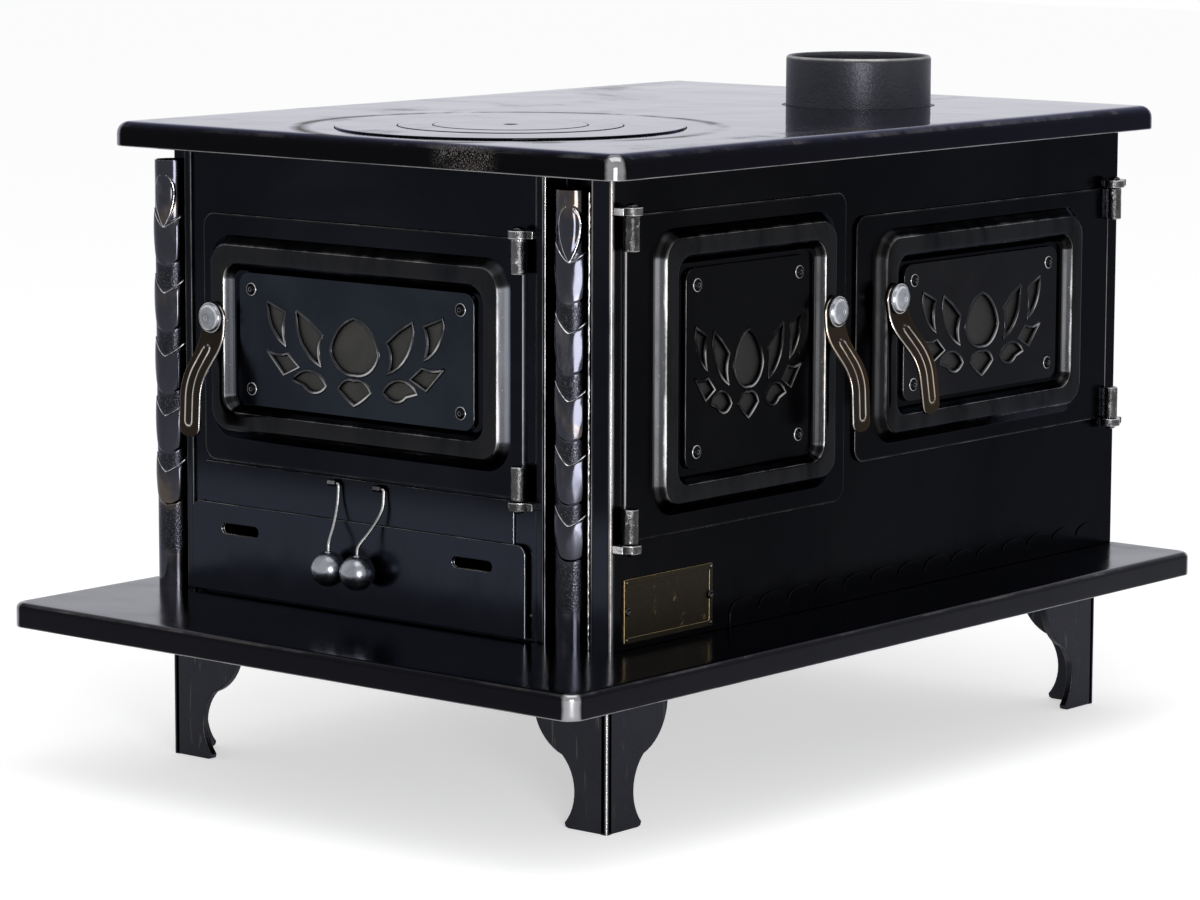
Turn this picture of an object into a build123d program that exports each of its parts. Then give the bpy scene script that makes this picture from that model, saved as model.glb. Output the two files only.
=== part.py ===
"""Wood cookstove: sheet-steel body on four cast legs, fire door, side door, oven door, ash drawer.

Millimetres. The long front faces -Y, the fire end faces -X, +Z is up. The origin is on the floor,
in the middle of the stove's bounding box.
"""

from build123d import *
from math import atan2, degrees
import os

os.makedirs("parts", exist_ok=True)

# %% Body
body_length = 820.0
body_width = 580.0
body_height = 450.0          # from the hearth plate to the underside of the cooktop sheet
sheet = 3.0                  # body panels, drawer and oven sheet
leg_height = 168.0

hearth_sheet = 4.0
hearth_lip = 24.0            # depth of the turned-down edge
hearth_left = 170.0          # how far the hearth plate stands out from the body
hearth_front = 98.0
hearth_rear = 29.0
hearth_right = 6.0
hearth_corner_r = 15.0
hearth_edge_r = 6.0

cooktop_sheet = 5.0
cooktop_lip = 24.0
cooktop_over = 29.0
cooktop_corner_r = 16.5
cooktop_edge_r = 16.0

# %% Cooktop rings and flue collar
ring_x = 172.0               # ring centre from the fire end
ring_y = 268.0               # ring centre from the front
outer_ring_r = 168.0
inner_ring_r = 108.0
lid_r = 74.0
ring_gap = 1.0               # radial play between the loose rings
ring_step = 4.0              # thickness of each ring's resting flange
ring_ledge = 10.0            # width of the ledge that carries the next ring in
ring_seat_wall = 14.0
lid_dimple_r = 6.0

flue_x = 650.0
flue_y = 208.0
flue_r = 74.5
flue_wall = 7.0
flue_height = 51.0
flue_flange = 16.0
flue_flange_thick = 6.0
flue_shoulder = 3.5         # step the pipe rests on, level with the cooktop
flue_hole_gap = 0.5
flue_rim_r = 3.0

# %% Corner posts in their recesses at the fire end
post_r = 17.0
post_wall = 2.0
post_in = 10.0               # post axis behind the fire end's face
post_drop = 32.0             # post top below the cooktop sheet
front_post_y = 52.0
post_back = 3.0              # room round the posts in their recesses
post_side_near = 10.5
post_side_far = 9.0
post_side_rear = 12.0
edge_strip_w = 9.0
edge_strip_thick = 3.0
leaf_relief = 1.2
leaf_pitch = 60.0
leaf_length = 38.0
leaf_count = 5
leaf_slope = 0.74            # rise of a leaf's edge for each mm across the post
leaf_first = 52.0            # first leaf below the post's top
bud_up = 14.0                # top of the bud leaf below the post's top
bud_r = 10.5
bud_length = 50.0

# %% Legs
leg_inset_x = 10.0
leg_inset_y = 12.0
leg_thick = 8.0
leg_corner_r = 3.0
leg_top_w = 89.0
leg_foot_w = 51.0
leg_waist_w = 40.0
leg_knee_w = 54.0
leg_waist_z = 42.0
leg_knee_z = 68.0
leg_shoulder_z = 113.0
leg_foot_r = 4.0

# %% Doors: all three are pressed the same way
leaf_gap = 0.3               # door leaf clear of the panel behind it
leaf_thick = 3.0
leaf_corner_r = 14.0
bead_rise = 12.0
bead_outer_run = 12.0
bead_plateau = 13.0
bead_inner_run = 9.0
recess_corner_r = 10.0
bead_corner_r = 30.0
bead_skin = 2.5
opening_lap = 4.0            # door opening inside the bead's foot, on each side
opening_corner_r = 24.0

backing_thick = 1.5
backing_margin = 3.0
decor_thick = 2.5
decor_corner_r = 12.0
screw_inset = 16.0
screw_head_r = 6.6
screw_head_h = 2.6
screw_r = 2.0
screw_socket_r = 1.6

hinge_pin_r = 4.0
pin_play = 0.05
pin_head_r = 5.2
pin_head_h = 3.0
barrel_r = 7.0
barrel_h = 32.0
barrel_web = 6.0
ring_r = 10.0                # hinge eye on the body
ring_h = 8.0
eye_gap = 0.5
fixed_fit = 0.02             # play of pins and screws in pieces they are fixed to
arm_half = 6.0

knob_r = 14.8
knob_rim = 3.0
knob_dome = 7.0
lever_w = 30.0
lever_thick = 4.0
lever_gap = 0.5
lever_drop = 98.0            # pivot to the centre of the lever's round end
lever_out = 28.0             # how far the grip stands out from the upper part
lever_bend_top = 24.0
lever_bend_low = 60.0
lever_bend_r = 12.0
lever_rib_w = 11.0
lever_rib_line = 2.0
lever_rib_h = 1.2
shaft_r = 5.0
shaft_play = 0.1
tongue_thick = 4.0
tongue_w = 12.0
tongue_gap = 1.0
shaft_wall = 2.0

# Fire door, on the fire end, hinged towards the front. Margins run from leaf to bead
fire_axis_y = 101.0
fire_free_gap = 17.0         # free edge to the strip beside the rear post
fire_leaf_up = 131.0         # bottom edge above the hearth plate
fire_leaf_down = 79.0        # top edge below the cooktop sheet
fire_hinge_margin = 14.0
fire_free_margin = 9.0
fire_low_margin = 23.0
fire_top_margin = 19.0
fire_decor_side = 8.5        # play of the decor plate in the recess
fire_decor_end = 1.0
fire_lotus_side = 36.5       # plate's edge to the flower
fire_lotus_end = 11.0
fire_latch_in = 18.0         # lever pivot inside the bead's foot
fire_latch_dv = 19.0
fire_lever_tilt = -3.0

# Side door, on the front, hinged at the fire end's corner
side_axis_x = 16.0
side_leaf_w = 331.0
side_leaf_up = 100.0
side_leaf_down = 53.0
side_hinge_margin = 37.0
side_free_margin = 18.0
side_low_margin = 18.0
side_top_margin = 15.0
side_decor_side = 11.0
side_decor_end = 5.0
side_lotus_side = 13.0
side_lotus_end = 40.0
side_latch_in = 19.0
side_latch_dv = 37.0
side_lever_tilt = 3.0

# Oven door, on the front, hinged at the far corner
door_gap = 17.0              # between the side door and the oven door
oven_axis_in = 21.0          # hinge axis from the body's far end
oven_leaf_up = 134.0
oven_leaf_down = 78.0
oven_hinge_margin = 53.0
oven_free_margin = 27.0
oven_low_margin = 14.0
oven_top_margin = 14.0
oven_decor_side = 12.0
oven_decor_end = 4.0
oven_lotus_side = 30.0
oven_lotus_end = 14.0
oven_latch_in = 18.0
oven_latch_dv = 38.0
oven_lever_tilt = 11.0

# Lotus cut-outs as they are drawn, before each door's plate sets their width and height
lotus_half_w = 113.0
lotus_half_h = 53.0

# %% Ash drawer and its two pulls
drawer_near = 97.0           # drawer front's edge from the stove's front
drawer_far_gap = 1.0         # plate to the strip beside the rear post
drawer_leaf_gap = 2.0        # tall front below the fire door
drawer_up = 2.0              # front's lower edge above the hearth plate
drawer_strip_in = 16.0       # tall front inside the plate's sides, clear of the hinge eye
drawer_plate_h = 87.0
drawer_plate_r = 10.0
drawer_mouth_in = 13.0       # mouth in the panel inside the front's sides
drawer_mouth_h = 80.0
drawer_side_gap = 3.0
drawer_top_gap = 3.7
drawer_depth = 290.0
slot_w = 49.0
slot_h = 10.0
slot_spacing = 298.0
slot_down = 24.0             # slot centre below the plate's top edge
runner_h = 6.0
runner_w = 26.0
runner_gap = 0.3

pull_off = -3.0              # middle of the two pulls from the drawer's middle
pull_spacing = 58.0
ball_spacing = 37.0
ball_r = 17.0
ball_gap = 0.5
wire_r = 1.5
eye_r = 3.2
eye_length = 10.0
eye_down = 5.0               # eye axis below the drawer front's top edge
wire_play = 0.06
wire_drop = 79.0             # eye axis to the ball's centre

# %% Inside
liner_wall = 6.0
liner_clear = 1.0
liner_oven_gap = 42.0        # smoke path between firebox and oven
liner_side_gap = 5.0
grate_up = 92.0              # grate shelf above the hearth plate
grate_w = 230.0
grate_l = 400.0
grate_thick = 10.0
grate_lap = 12.0
grate_slot = 9.0
grate_slot_count = 11
liner_top_gap = 26.0
flue_window_h = 40.0
flue_window_w = 360.0

oven_wall = 3.0
oven_room = 10.0             # oven wall outside the door opening, on each side
oven_rear_gap = 71.0
rack_rod_r = 2.5
rack_rod_count = 11
rack_side_gap = 4.0
rack_ledge = 12.0
rack_up = 90.0               # rack above the oven's floor

# %% Name plate, left blank
name_plate_x = 82.0
name_plate_up = 36.0
name_plate_w = 129.0
name_plate_h = 59.0
name_plate_thick = 1.5
name_plate_border = 5.0
name_plate_relief = 0.6
name_screw_r = 4.0
name_rivet_r = 2.0

# %% Derived places, in the stove's own frame
left_out = max(hearth_left, cooktop_over)
right_out = max(hearth_right, cooktop_over)
front_out = max(hearth_front, cooktop_over)
rear_out = max(hearth_rear, cooktop_over)
body_left = -(body_length + right_out - left_out) / 2
body_front = -(body_width + rear_out - front_out) / 2
body_right = body_left + body_length
body_rear = body_front + body_width
hearth_top = leg_height + hearth_sheet
body_top = hearth_top + body_height
cooktop_top = body_top + cooktop_sheet
middle_x = body_left + body_length / 2
middle_y = body_front + body_width / 2
post_top = body_top - post_drop

recess_depth = post_in + post_r + post_back
front_recess_start = front_post_y - post_r - post_side_near
front_recess_end = front_post_y + post_r + post_side_far
rear_recess = 2 * post_r + post_side_rear
far_strip_y = body_width - rear_recess - edge_strip_w

bead_run = bead_outer_run + bead_plateau + bead_inner_run
fire_leaf_w = far_strip_y - fire_free_gap - fire_axis_y
fire_leaf_h = body_height - fire_leaf_up - fire_leaf_down
fire_bead_w = fire_leaf_w - fire_hinge_margin - fire_free_margin
fire_bead_h = fire_leaf_h - fire_low_margin - fire_top_margin
fire_decor_w = fire_bead_w - 2 * (bead_run + fire_decor_side)
fire_decor_h = fire_bead_h - 2 * (bead_run + fire_decor_end)
side_leaf_h = body_height - side_leaf_up - side_leaf_down
side_bead_w = side_leaf_w - side_hinge_margin - side_free_margin
side_bead_h = side_leaf_h - side_low_margin - side_top_margin
side_decor_w = side_bead_w - 2 * (bead_run + side_decor_side)
side_decor_h = side_bead_h - 2 * (bead_run + side_decor_end)
oven_leaf_w = body_length - side_axis_x - side_leaf_w - door_gap - oven_axis_in
oven_leaf_h = body_height - oven_leaf_up - oven_leaf_down
oven_bead_w = oven_leaf_w - oven_hinge_margin - oven_free_margin
oven_bead_h = oven_leaf_h - oven_low_margin - oven_top_margin
oven_decor_w = oven_bead_w - 2 * (bead_run + oven_decor_side)
oven_decor_h = oven_bead_h - 2 * (bead_run + oven_decor_end)

end_face = Plane(origin=(body_left, 0, 0), x_dir=(0, -1, 0), z_dir=(-1, 0, 0))
front_face = Plane(origin=(0, body_front, 0), x_dir=(1, 0, 0), z_dir=(0, -1, 0))


def on_face(face, u, v):
    """Plane on a face of the body, moved u along it and v up."""
    return Plane(origin=face.from_local_coords((u, v, 0)), x_dir=face.x_dir, z_dir=face.z_dir)


def finish(builder, name):
    """Label a finished piece and write its file."""
    builder.part.label = name
    export_step(builder.part, f"parts/{name}.step")


# %% Hearth plate: a pressed tray, open below
with BuildPart() as base_plate:
    with BuildSketch(Plane.XY.offset(hearth_top)) as hearth_outline:
        with Locations((middle_x + (hearth_right - hearth_left) / 2,
                        middle_y + (hearth_rear - hearth_front) / 2)):
            RectangleRounded(body_length + hearth_left + hearth_right,
                             body_width + hearth_front + hearth_rear, hearth_corner_r)
    extrude(amount=-hearth_lip)
    fillet(base_plate.faces().sort_by(Axis.Z)[-1].edges(), hearth_edge_r)
    offset(amount=-hearth_sheet, openings=base_plate.faces().sort_by(Axis.Z)[0])
finish(base_plate, "base_plate")

# %% Legs: two cast flanges that meet in an upright outer corner
leg_x = body_left + leg_inset_x
leg_y = body_front + leg_inset_y


def leg_flange(plane):
    """One flange's outline, from the outer corner inwards, thickened behind its face."""
    with BuildPart() as flange:
        with BuildSketch(plane):
            with BuildLine():
                Polyline((0, 0), (leg_foot_w - leg_foot_r, 0), (leg_foot_w, leg_foot_r))
                ThreePointArc((leg_foot_w, leg_foot_r), (leg_waist_w, leg_waist_z),
                              (leg_knee_w, leg_knee_z))
                ThreePointArc((leg_knee_w, leg_knee_z),
                              (leg_top_w - leg_foot_r * 2.5, leg_knee_z + leg_foot_r * 4.5),
                              (leg_top_w, leg_shoulder_z))
                Polyline((leg_top_w, leg_shoulder_z), (leg_top_w, leg_height),
                         (0, leg_height), (0, 0))
            make_face()
        extrude(amount=-leg_thick)
    return flange.part


leg_front_plane = Plane(origin=(leg_x, leg_y, 0), x_dir=(1, 0, 0), z_dir=(0, -1, 0))
leg_end_plane = Plane(origin=(leg_x, leg_y, 0), x_dir=(0, 1, 0), z_dir=(1, 0, 0))
front_flange = leg_flange(leg_front_plane)
end_flange = mirror(leg_flange(leg_end_plane), about=Plane.YZ.offset(leg_x))

with BuildPart() as leg_front_left:
    add(front_flange)
    add(end_flange)
    fillet(leg_front_left.edges().filter_by(Axis.Z).sort_by(
        lambda edge: edge.center().X + edge.center().Y)[0], leg_corner_r)
finish(leg_front_left, "leg_front_left")

with BuildPart() as leg_front_right:
    mirror(leg_front_left.part, about=Plane.YZ.offset(middle_x))
finish(leg_front_right, "leg_front_right")

with BuildPart() as leg_rear_left:
    mirror(leg_front_left.part, about=Plane.XZ.offset(-middle_y))
finish(leg_rear_left, "leg_rear_left")

with BuildPart() as leg_rear_right:
    mirror(leg_rear_left.part, about=Plane.YZ.offset(middle_x))
finish(leg_rear_right, "leg_rear_right")


# %% Where the doors go. Each door's plane has its origin in the middle of the pressed bead
def door_place(face, leaf_u, leaf_v, hinge_side, hinge_margin, free_margin, low_margin, top_margin):
    return on_face(face, leaf_u + hinge_side * (free_margin - hinge_margin) / 2,
                   leaf_v + (low_margin - top_margin) / 2)


fire_leaf_u = -(body_front + fire_axis_y + fire_leaf_w / 2)
fire_leaf_v = hearth_top + fire_leaf_up + fire_leaf_h / 2
fire_place = door_place(end_face, fire_leaf_u, fire_leaf_v, 1, fire_hinge_margin,
                        fire_free_margin, fire_low_margin, fire_top_margin)
side_leaf_u = body_left + side_axis_x + side_leaf_w / 2
side_leaf_v = hearth_top + side_leaf_up + side_leaf_h / 2
side_place = door_place(front_face, side_leaf_u, side_leaf_v, -1, side_hinge_margin,
                        side_free_margin, side_low_margin, side_top_margin)
oven_leaf_u = body_right - oven_axis_in - oven_leaf_w / 2
oven_leaf_v = hearth_top + oven_leaf_up + oven_leaf_h / 2
oven_place = door_place(front_face, oven_leaf_u, oven_leaf_v, 1, oven_hinge_margin,
                        oven_free_margin, oven_low_margin, oven_top_margin)

fire_mouth_w = fire_bead_w - 2 * opening_lap
fire_mouth_h = fire_bead_h - 2 * opening_lap
side_mouth_w = side_bead_w - 2 * opening_lap
side_mouth_h = side_bead_h - 2 * opening_lap
oven_mouth_w = oven_bead_w - 2 * opening_lap
oven_mouth_h = oven_bead_h - 2 * opening_lap
oven_w = oven_mouth_w + 2 * oven_room
oven_x = oven_place.origin.X

drawer_w = far_strip_y - drawer_far_gap - drawer_near
drawer_front_h = fire_leaf_up - drawer_leaf_gap - drawer_up
drawer_h = drawer_mouth_h - runner_h - runner_gap - drawer_top_gap
drawer_u = -(body_front + drawer_near + drawer_w / 2)
drawer_bottom = hearth_top + drawer_up
drawer_front_top = drawer_bottom + drawer_front_h
drawer_mouth_w = drawer_w - 2 * drawer_mouth_in

# %% Fire end panel: bent round the two post recesses, with a proud strip beside each
with BuildPart() as end_panel:
    with BuildSketch(Plane.XY.offset(hearth_top)):
        with BuildLine():
            bent = Polyline(
                (body_left, body_front + sheet),
                (body_left, body_front + front_recess_start),
                (body_left + recess_depth, body_front + front_recess_start),
                (body_left + recess_depth, body_front + front_recess_end),
                (body_left, body_front + front_recess_end),
                (body_left, body_rear - rear_recess),
                (body_left + recess_depth, body_rear - rear_recess),
                (body_left + recess_depth, body_rear))
            inner = Polyline(
                (body_left + recess_depth + sheet, body_rear),
                (body_left + recess_depth + sheet, body_rear - rear_recess - sheet),
                (body_left + sheet, body_rear - rear_recess - sheet),
                (body_left + sheet, body_front + front_recess_end + sheet),
                (body_left + recess_depth + sheet, body_front + front_recess_end + sheet),
                (body_left + recess_depth + sheet, body_front + front_recess_start - sheet),
                (body_left + sheet, body_front + front_recess_start - sheet),
                (body_left + sheet, body_front + sheet))
            Line(bent @ 1, inner @ 0)
            Line(inner @ 1, bent @ 0)
        make_face()
    extrude(amount=body_height)
    with BuildSketch(fire_place):
        RectangleRounded(fire_mouth_w, fire_mouth_h, opening_corner_r)
    extrude(amount=-sheet, mode=Mode.SUBTRACT)
    with BuildSketch(on_face(end_face, drawer_u, hearth_top + drawer_mouth_h / 2)):
        Rectangle(drawer_mouth_w, drawer_mouth_h)
    extrude(amount=-sheet, mode=Mode.SUBTRACT)
    with BuildSketch(end_face):
        for strip_y in (front_recess_end, far_strip_y):
            with Locations((-(body_front + strip_y + edge_strip_w / 2),
                            hearth_top + body_height / 2)):
                Rectangle(edge_strip_w, body_height)
    extrude(amount=edge_strip_thick)
finish(end_panel, "end_panel")

# %% Front panel, with the side door's and the oven's mouths
with BuildPart() as front_panel:
    with BuildSketch(on_face(front_face, middle_x, hearth_top + body_height / 2)):
        Rectangle(body_length, body_height)
    extrude(amount=-sheet)
    with BuildSketch(side_place):
        RectangleRounded(side_mouth_w, side_mouth_h, opening_corner_r)
    extrude(amount=-sheet, mode=Mode.SUBTRACT)
    with BuildSketch(oven_place):
        RectangleRounded(oven_mouth_w, oven_mouth_h, opening_corner_r)
    extrude(amount=-sheet, mode=Mode.SUBTRACT)
finish(front_panel, "front_panel")

# %% Rear and far-end panels
with BuildPart() as rear_panel:
    with BuildSketch(Plane.XY.offset(hearth_top)):
        with Locations(((body_left + recess_depth + sheet + body_right) / 2,
                        body_rear - sheet / 2)):
            Rectangle(body_length - recess_depth - sheet, sheet)
    extrude(amount=body_height)
finish(rear_panel, "rear_panel")

with BuildPart() as right_panel:
    with BuildSketch(Plane.XY.offset(hearth_top)):
        with Locations((body_right - sheet / 2, middle_y)):
            Rectangle(sheet, body_width - 2 * sheet)
    extrude(amount=body_height)
finish(right_panel, "right_panel")

# %% Cooktop: pressed tray with a seat for the rings and a hole for the flue collar
ring_centre = (body_left + ring_x, body_front + ring_y)
flue_centre = (body_left + flue_x, body_front + flue_y)
ring_depth = 2 * ring_step
seat_top = cooktop_top - ring_depth
seat_bottom = seat_top - ring_step

with BuildPart() as top_plate:
    with BuildSketch(Plane.XY.offset(cooktop_top - cooktop_lip)):
        with Locations((middle_x, middle_y)):
            RectangleRounded(body_length + 2 * cooktop_over, body_width + 2 * cooktop_over,
                             cooktop_corner_r)
    extrude(amount=cooktop_lip)
    fillet(top_plate.faces().sort_by(Axis.Z)[-1].edges(), cooktop_edge_r)
    offset(amount=-cooktop_sheet, openings=top_plate.faces().sort_by(Axis.Z)[0])
    with BuildSketch(Plane.XY.offset(seat_bottom)):
        with Locations(ring_centre):
            Circle(outer_ring_r + ring_gap + ring_seat_wall)
        with Locations((middle_x, middle_y)):
            Rectangle(body_length - 2 * sheet, body_width - 2 * sheet, mode=Mode.INTERSECT)
    extrude(amount=body_top - seat_bottom)
    with BuildSketch(Plane.XY.offset(cooktop_top)):
        with Locations(ring_centre):
            Circle(outer_ring_r + ring_gap)
    extrude(amount=-ring_depth, mode=Mode.SUBTRACT)
    with BuildSketch(Plane.XY.offset(cooktop_top)):
        with Locations(ring_centre):
            Circle(outer_ring_r - ring_ledge)
        with Locations(flue_centre):
            Circle(flue_r + flue_shoulder + flue_hole_gap)
    extrude(amount=-cooktop_lip, mode=Mode.SUBTRACT)
finish(top_plate, "top_plate")

# %% Loose rings: each one rests on the ledge of the one outside it
with BuildPart() as outer_ring:
    with BuildSketch(Plane.XY.offset(seat_top)):
        with Locations(ring_centre):
            Circle(outer_ring_r)
            Circle(inner_ring_r - ring_ledge, mode=Mode.SUBTRACT)
    extrude(amount=ring_depth)
    with BuildSketch(Plane.XY.offset(cooktop_top)):
        with Locations(ring_centre):
            Circle(inner_ring_r + ring_gap)
    extrude(amount=-ring_step, mode=Mode.SUBTRACT)
finish(outer_ring, "outer_ring")

with BuildPart() as inner_ring:
    with BuildSketch(Plane.XY.offset(cooktop_top - ring_step)):
        with Locations(ring_centre):
            Circle(inner_ring_r)
    extrude(amount=ring_step)
    with BuildSketch(Plane.XY.offset(seat_top)):
        with Locations(ring_centre):
            Circle(inner_ring_r - ring_ledge - ring_gap)
    extrude(amount=ring_step)
    with BuildSketch(Plane.XY.offset(seat_top)):
        with Locations(ring_centre):
            Circle(lid_r - ring_ledge)
    extrude(amount=ring_depth, mode=Mode.SUBTRACT)
    with BuildSketch(Plane.XY.offset(cooktop_top)):
        with Locations(ring_centre):
            Circle(lid_r + ring_gap)
    extrude(amount=-ring_step, mode=Mode.SUBTRACT)
finish(inner_ring, "inner_ring")

with BuildPart() as lid:
    with BuildSketch(Plane.XY.offset(cooktop_top - ring_step)):
        with Locations(ring_centre):
            Circle(lid_r)
    extrude(amount=ring_step)
    with BuildSketch(Plane.XY.offset(seat_top)):
        with Locations(ring_centre):
            Circle(lid_r - ring_ledge - ring_gap)
    extrude(amount=ring_step)
    with BuildSketch(Plane.XY.offset(cooktop_top)):
        with Locations(ring_centre):
            Circle(lid_dimple_r)
    extrude(amount=-ring_step / 2, taper=30, mode=Mode.SUBTRACT)
finish(lid, "lid")

# %% Flue collar: cast spigot, flanged under the cooktop
with BuildPart() as flue_collar:
    with BuildSketch(Plane.XY.offset(body_top - flue_flange_thick)):
        with Locations(flue_centre):
            Circle(flue_r + flue_flange)
    extrude(amount=flue_flange_thick)
    with BuildSketch(Plane.XY.offset(body_top)):
        with Locations(flue_centre):
            Circle(flue_r + flue_shoulder)
    extrude(amount=cooktop_sheet)
    with BuildSketch(Plane.XY.offset(cooktop_top)):
        with Locations(flue_centre):
            Circle(flue_r)
    extrude(amount=flue_height)
    with BuildSketch(Plane.XY.offset(body_top - flue_flange_thick)):
        with Locations(flue_centre):
            Circle(flue_r - flue_wall)
    extrude(amount=flue_flange_thick + cooktop_sheet + flue_height, mode=Mode.SUBTRACT)
    fillet(flue_collar.faces().sort_by(Axis.Z)[-1].edges(), flue_rim_r)
finish(flue_collar, "flue_collar")

# %% Corner posts: open tubes wrapped in slanting leaves, with a bud leaf at the top
leaf_upper = Plane(origin=(0, 0, 0), x_dir=(0, 1, 0), z_dir=(-leaf_slope, 0, 1))
leaf_lower = leaf_upper.offset(-leaf_length / (1 + leaf_slope**2) ** 0.5)

with BuildPart() as leaf_band:
    with BuildSketch(Plane.XY.offset(-2 * leaf_length)):
        Circle(post_r + leaf_relief)
        Circle(post_r - post_wall / 2, mode=Mode.SUBTRACT)
    extrude(amount=3 * leaf_length)
    split(bisect_by=leaf_upper, keep=Keep.BOTTOM)
    split(bisect_by=leaf_lower, keep=Keep.TOP)

with BuildPart() as bud_leaf:
    with BuildSketch(Plane(origin=(0, 0, 0), x_dir=(0, -1, 0), z_dir=(-1, 0, 0))):
        with BuildLine():
            ThreePointArc((-bud_r, -bud_r), (0, 0), (bud_r, -bud_r))
            Line((bud_r, -bud_r), (0, -bud_length))
            Line((0, -bud_length), (-bud_r, -bud_r))
        make_face()
    extrude(amount=2 * post_r)
    with BuildSketch(Plane.XY.offset(-bud_length)):
        Circle(post_r + leaf_relief)
        Circle(post_r - post_wall / 2, mode=Mode.SUBTRACT)
    extrude(amount=bud_length, mode=Mode.INTERSECT)


def corner_post(x, y):
    with BuildPart() as post:
        with BuildSketch(Plane.XY.offset(hearth_top)):
            with Locations((x, y)):
                Circle(post_r)
                Circle(post_r - post_wall, mode=Mode.SUBTRACT)
        extrude(amount=post_top - hearth_top)
        with Locations(*[(x, y, post_top - leaf_first - leaf_pitch * leaf)
                         for leaf in range(leaf_count)]):
            add(leaf_band.part)
        with Locations((x, y, post_top - bud_up)):
            add(bud_leaf.part)
    return post


corner_post_front = corner_post(body_left + post_in, body_front + front_post_y)
finish(corner_post_front, "corner_post_front")
corner_post_rear = corner_post(body_left + post_in, body_rear - post_r)
finish(corner_post_rear, "corner_post_rear")

# %% Firebox: a welded lining on the hearth plate, with throats to both doors and the ash drawer
liner_left = body_left + recess_depth + sheet + liner_clear
liner_right = oven_x - oven_w / 2 - oven_wall - liner_oven_gap
liner_length = liner_right - liner_left
liner_front = body_front + sheet + liner_side_gap
liner_rear = body_rear - sheet - liner_side_gap
liner_top = body_top - liner_top_gap
liner_mid = ((liner_left + liner_right) / 2, (liner_front + liner_rear) / 2)
shelf_top = hearth_top + grate_up

with BuildPart() as firebox_liner:
    with BuildSketch(Plane.XY.offset(hearth_top)):
        with Locations(liner_mid):
            Rectangle(liner_length, liner_rear - liner_front)
            Rectangle(liner_length - 2 * liner_wall, liner_rear - liner_front - 2 * liner_wall,
                      mode=Mode.SUBTRACT)
    extrude(amount=liner_top - hearth_top)
    with BuildSketch(Plane.XY.offset(shelf_top - liner_wall)):
        with Locations(liner_mid):
            Rectangle(liner_length - liner_wall, liner_rear - liner_front - liner_wall)
            Rectangle(grate_w - 2 * grate_lap, grate_l - 2 * grate_lap, mode=Mode.SUBTRACT)
    extrude(amount=liner_wall)
    with BuildSketch(fire_place.offset(-sheet)):
        RectangleRounded(fire_mouth_w + 2 * liner_wall, fire_mouth_h + 2 * liner_wall,
                         opening_corner_r + liner_wall)
    extrude(amount=-(recess_depth + liner_clear + liner_wall))
    with BuildSketch(side_place.offset(-sheet)):
        RectangleRounded(side_mouth_w + 2 * liner_wall, side_mouth_h + 2 * liner_wall,
                         opening_corner_r + liner_wall)
    extrude(amount=-(liner_side_gap + liner_wall))
    with BuildSketch(fire_place.offset(-sheet)):
        RectangleRounded(fire_mouth_w, fire_mouth_h, opening_corner_r)
    extrude(amount=-(recess_depth + liner_clear + liner_wall), mode=Mode.SUBTRACT)
    with BuildSketch(side_place.offset(-sheet)):
        RectangleRounded(side_mouth_w, side_mouth_h, opening_corner_r)
    extrude(amount=-(liner_side_gap + liner_wall), mode=Mode.SUBTRACT)
    with BuildSketch(on_face(end_face, drawer_u, hearth_top + drawer_mouth_h / 2).offset(-sheet)):
        Rectangle(drawer_mouth_w, drawer_mouth_h)
    extrude(amount=-(recess_depth + liner_clear + liner_wall), mode=Mode.SUBTRACT)
    with BuildSketch(Plane.YZ.offset(liner_right)):
        with Locations((middle_y, liner_top - flue_window_h / 2)):
            Rectangle(flue_window_w, flue_window_h)
    extrude(amount=-liner_wall, mode=Mode.SUBTRACT)
finish(firebox_liner, "firebox_liner")

slot_pitch = (grate_w - 4 * grate_lap) / grate_slot_count
with BuildPart() as fire_grate:
    with BuildSketch(Plane.XY.offset(shelf_top)):
        with Locations(liner_mid):
            Rectangle(grate_w, grate_l)
            with GridLocations(slot_pitch, 0, grate_slot_count, 1):
                SlotOverall(grate_l - 4 * grate_lap, grate_slot, rotation=90, mode=Mode.SUBTRACT)
    extrude(amount=grate_thick)
finish(fire_grate, "fire_grate")

# %% Oven: a five-sided box behind the oven door, with ledges for its rack
oven_h = oven_mouth_h + 2 * oven_room
oven_depth = body_width - 2 * sheet - oven_wall - oven_rear_gap
oven_box_place = oven_place.offset(-sheet)
rack_z = oven_place.origin.Z - oven_h / 2 + rack_up
rack_w = oven_w - 2 * rack_side_gap
rack_l = oven_depth - 4 * rack_side_gap
rack_y = body_front + sheet + 2 * rack_side_gap + rack_l / 2

with BuildPart() as oven_box:
    with BuildSketch(oven_box_place):
        Rectangle(oven_w + 2 * oven_wall, oven_h + 2 * oven_wall)
    extrude(amount=-oven_depth - oven_wall)
    with BuildSketch(oven_box_place):
        Rectangle(oven_w, oven_h)
    extrude(amount=-oven_depth, mode=Mode.SUBTRACT)
    with BuildSketch(Plane.XY.offset(rack_z - oven_wall)):
        with Locations((oven_x - (oven_w - rack_ledge) / 2, rack_y),
                       (oven_x + (oven_w - rack_ledge) / 2, rack_y)):
            Rectangle(rack_ledge, rack_l)
    extrude(amount=oven_wall)
    with BuildSketch(Plane.XY.offset(hearth_top)):
        with Locations((oven_x - oven_w / 2, body_front + oven_depth / 2),
                       (oven_x + oven_w / 2, body_front + oven_depth / 2)):
            Rectangle(oven_wall, oven_depth / 2)
    extrude(amount=oven_place.origin.Z - oven_h / 2 - oven_wall / 2 - hearth_top)
finish(oven_box, "oven_box")

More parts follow.
